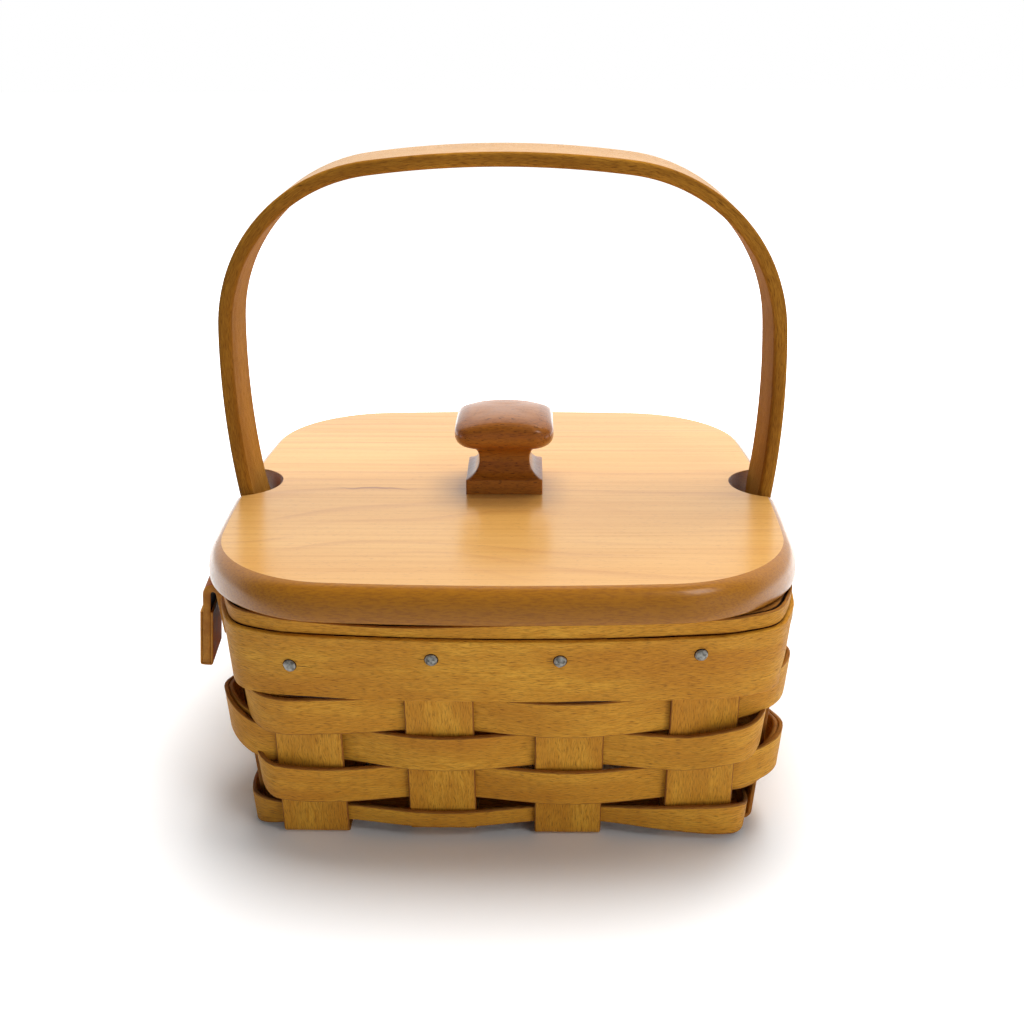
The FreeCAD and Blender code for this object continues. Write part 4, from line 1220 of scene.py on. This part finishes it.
# The handle's three tones, for outer face, front and back edges, and inner face, are partly the wood's own
# and partly painted light and shade: the outer face paler where light and sheen fall, the edges darker as
# in shade.
handle_woods = (
    splint_material("handle_wood", (204, 157, 99), (189, 142, 83), (140, 93, 46), gloss=0.35, shine=0.6),
    splint_material("handle_edge", (184, 126, 42), (144, 92, 26), (74, 42, 10), gloss=0.7, shine=0.1),
    splint_material("handle_inside", (194, 138, 60), (166, 112, 42), (116, 72, 24), gloss=0.75, shine=0.1),
)
lid_wood = board_material(
    "lid_wood", (228, 174, 96), (219, 162, 82), (186, 122, 54), (134, 80, 28), (174, 112, 26),
    gloss=0.42, line_share=0.32, pore_share=0.2, fleck_share=0.55, streak=mineral_streak)
knob_wood = board_material(
    "knob_wood", (182, 116, 48), (170, 104, 38), (150, 88, 30), (56, 26, 8), (164, 96, 26),
    gloss=0.36, line_share=0.3, pore_share=0.7, fleck_share=0.35)
hides = (
    leather_material("leather_hide", (176, 100, 36), (136, 70, 22), gloss=0.6),
    leather_material("leather_cut_edge", (212, 150, 64), (184, 120, 46), gloss=0.6),
    # The third hide is painted shade: the backs of the strap and flap face the wall and are drawn nearly
    # black.
    leather_material("leather_back_painted_shade", (66, 34, 14), (42, 20, 8), gloss=0.8),
)
tack_steel = steel_material()
stain_and_painted_shade = stain_and_shade_material()
splint_woods = (splint_wood, splint_edge)
# Tack collars take the second look: iron stain and painted contact shade.
tack_looks = (tack_steel, stain_and_painted_shade)
rim_seeds = [3.1 * number for number in range(STAKES)]
leg_seeds = (50.5, 51.5, 51.5, 52.5)

for column in range(STAKES_A_SIDE):
    make_stake(column, True, splint_woods)
    make_stake(column, False, splint_woods)
make_weavers(splint_woods)
make_bands(splint_wood, splint_edge, stain_and_painted_shade)
make_tacks("rim_tack_heads", "rim_tacks", rim_tack_spots(), BAND_FACE, rim_seeds, tack_looks)
make_tacks("handle_tack_heads", "handle_tacks", handle_tack_spots(), BAND_FACE, leg_seeds, tack_looks)
make_splits_and_shadow_lines(stain_and_painted_shade)
make_handle(handle_woods)
make_lid(lid_wood)
make_knob(knob_wood)
make_leather(hides)
make_tacks("strap_tack_heads", "strap_tacks", strap_tack_spots(), STRAP_FACE, (80, 81), tack_looks)

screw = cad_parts["knob_screw"]
screw.data.materials.clear()
screw.data.materials.append(tack_steel)


# Floor, light and camera

CAMERA_PLACE = Vector((7.07, -372.88, 212.08))
CAMERA_WAY = Vector((-0.016095, 0.936118, -0.351319))
CAMERA_ROLL = radians(-0.219)
CAMERA_LENS = 43.74
FLOOR_HALF = 6.0
UNDER_BASE = 0.07
BESIDE_BASE = 0.14
FADE_FROM = 0.16
FADE_TO = 0.45
FLOOR_GLOW = 0.16
FRONT_MIRROR = 0.06
MIRROR_FROM = -0.25
MIRROR_TO = 0.25
HORIZON_TO = 0.5
LEFT_SHARE = 0.75


def make_floor():
    """A white floor that keeps the object's shadow and fades to plain white away from it."""
    mesh = bpy.data.meshes.new("floor")
    corners = [turned(Vector((FLOOR_HALF, FLOOR_HALF, 0)), quarter) for quarter in range(WALLS)]
    mesh.from_pydata(corners, [], [(0, 1, 2, 3)])
    nodes = Nodes.of_material("floor_white")
    path = nodes.add("LightPath").outputs
    place = nodes.place()
    mirror_share = nodes.between(nodes.axis(place, "Y"), MIRROR_FROM, 0.0, FRONT_MIRROR, 1.0)
    seen = nodes.math("MAXIMUM", path["Is Camera Ray"], nodes.times(path["Is Glossy Ray"], mirror_share))
    tone = nodes.mix(path["Is Camera Ray"], (0.92, 0.92, 0.92, 1), (1, 1, 1, 1))
    nodes.surface(nodes.mix(path["Is Glossy Ray"], tone, mirror_share), 0.9, shine=0.0)
    away = nodes.distance(place)
    glow = nodes.math("ADD", nodes.between(away, UNDER_BASE, BESIDE_BASE, 0.0, FLOOR_GLOW),
                      nodes.between(away, FADE_FROM, FADE_TO, 0.0, 1.0 - FLOOR_GLOW))
    nodes.set("Emission Color", (1, 1, 1, 1))
    nodes.set("Emission Strength", nodes.times(seen, glow))
    mesh.materials.append(nodes.material)
    floor = add_object("floor", mesh)


def make_world(horizon, fill):
    """White where it is seen, and where it is mirrored from behind. It lights from low down."""
    world = bpy.data.worlds.new("studio")
    bpy.context.scene.world = world
    world.use_nodes = True
    nodes = Nodes(world.node_tree)
    path = nodes.add("LightPath").outputs
    way = nodes.add("SeparateXYZ", {0: nodes.place("Generated")}).outputs
    mirrored = nodes.math("MAXIMUM", path["Is Glossy Ray"], path["Is Transmission Ray"])
    mirror_light = nodes.between(way["Y"], MIRROR_FROM, MIRROR_TO, FRONT_MIRROR, 1.0)
    low_light = nodes.between(way["Z"], 0.0, HORIZON_TO, horizon, fill)
    plain_light = nodes.times(low_light, nodes.between(way["X"], -0.8, 0.8, LEFT_SHARE, 1.0))
    strength = nodes.add("Mix", {0: mirrored, 2: plain_light, 3: mirror_light}).outputs[0]
    background = world.node_tree.nodes["Background"]
    nodes.put((1, 1, 1, 1), background.inputs["Color"])
    nodes.put(nodes.math("MAXIMUM", path["Is Camera Ray"], strength), background.inputs["Strength"])


def make_light(name, place, target, width, power, mirrored=False):
    """A square soft light that points at a target, in metres."""
    data = bpy.data.lights.new(name, "AREA")
    data.size = width
    data.energy = power
    light = add_object(name, data)
    light.location = place
    light.rotation_euler = (Vector(target) - Vector(place)).to_track_quat("-Z", "Y").to_euler()
    light.visible_camera = False
    light.visible_glossy = mirrored


def make_camera():
    data = bpy.data.cameras.new("camera")
    data.lens = CAMERA_LENS
    data.sensor_width = 36.0
    data.clip_start = 0.01
    camera = add_object("camera", data)
    camera.location = CAMERA_PLACE * MM
    camera.rotation_mode = "QUATERNION"
    roll = Quaternion((0, 0, 1), CAMERA_ROLL)
    camera.rotation_quaternion = CAMERA_WAY.to_track_quat("-Z", "Y") @ roll
    bpy.context.scene.camera = camera


make_floor()
make_world(0.55, 0.05)
make_light("overhead", (0.08, 0.3, 1.1), (0, 0, 0.06), 0.8, 18.5)
make_light("right_fill", (0.65, -0.6, 0.12), (0, 0, 0.05), 0.5, 2.2)
make_light("right_lamp", (0.5, -0.55, 0.8), (0, 0, 0.08), 0.3, 1.2, mirrored=True)
make_camera()
bpy.context.scene.view_settings.view_transform = "Standard"
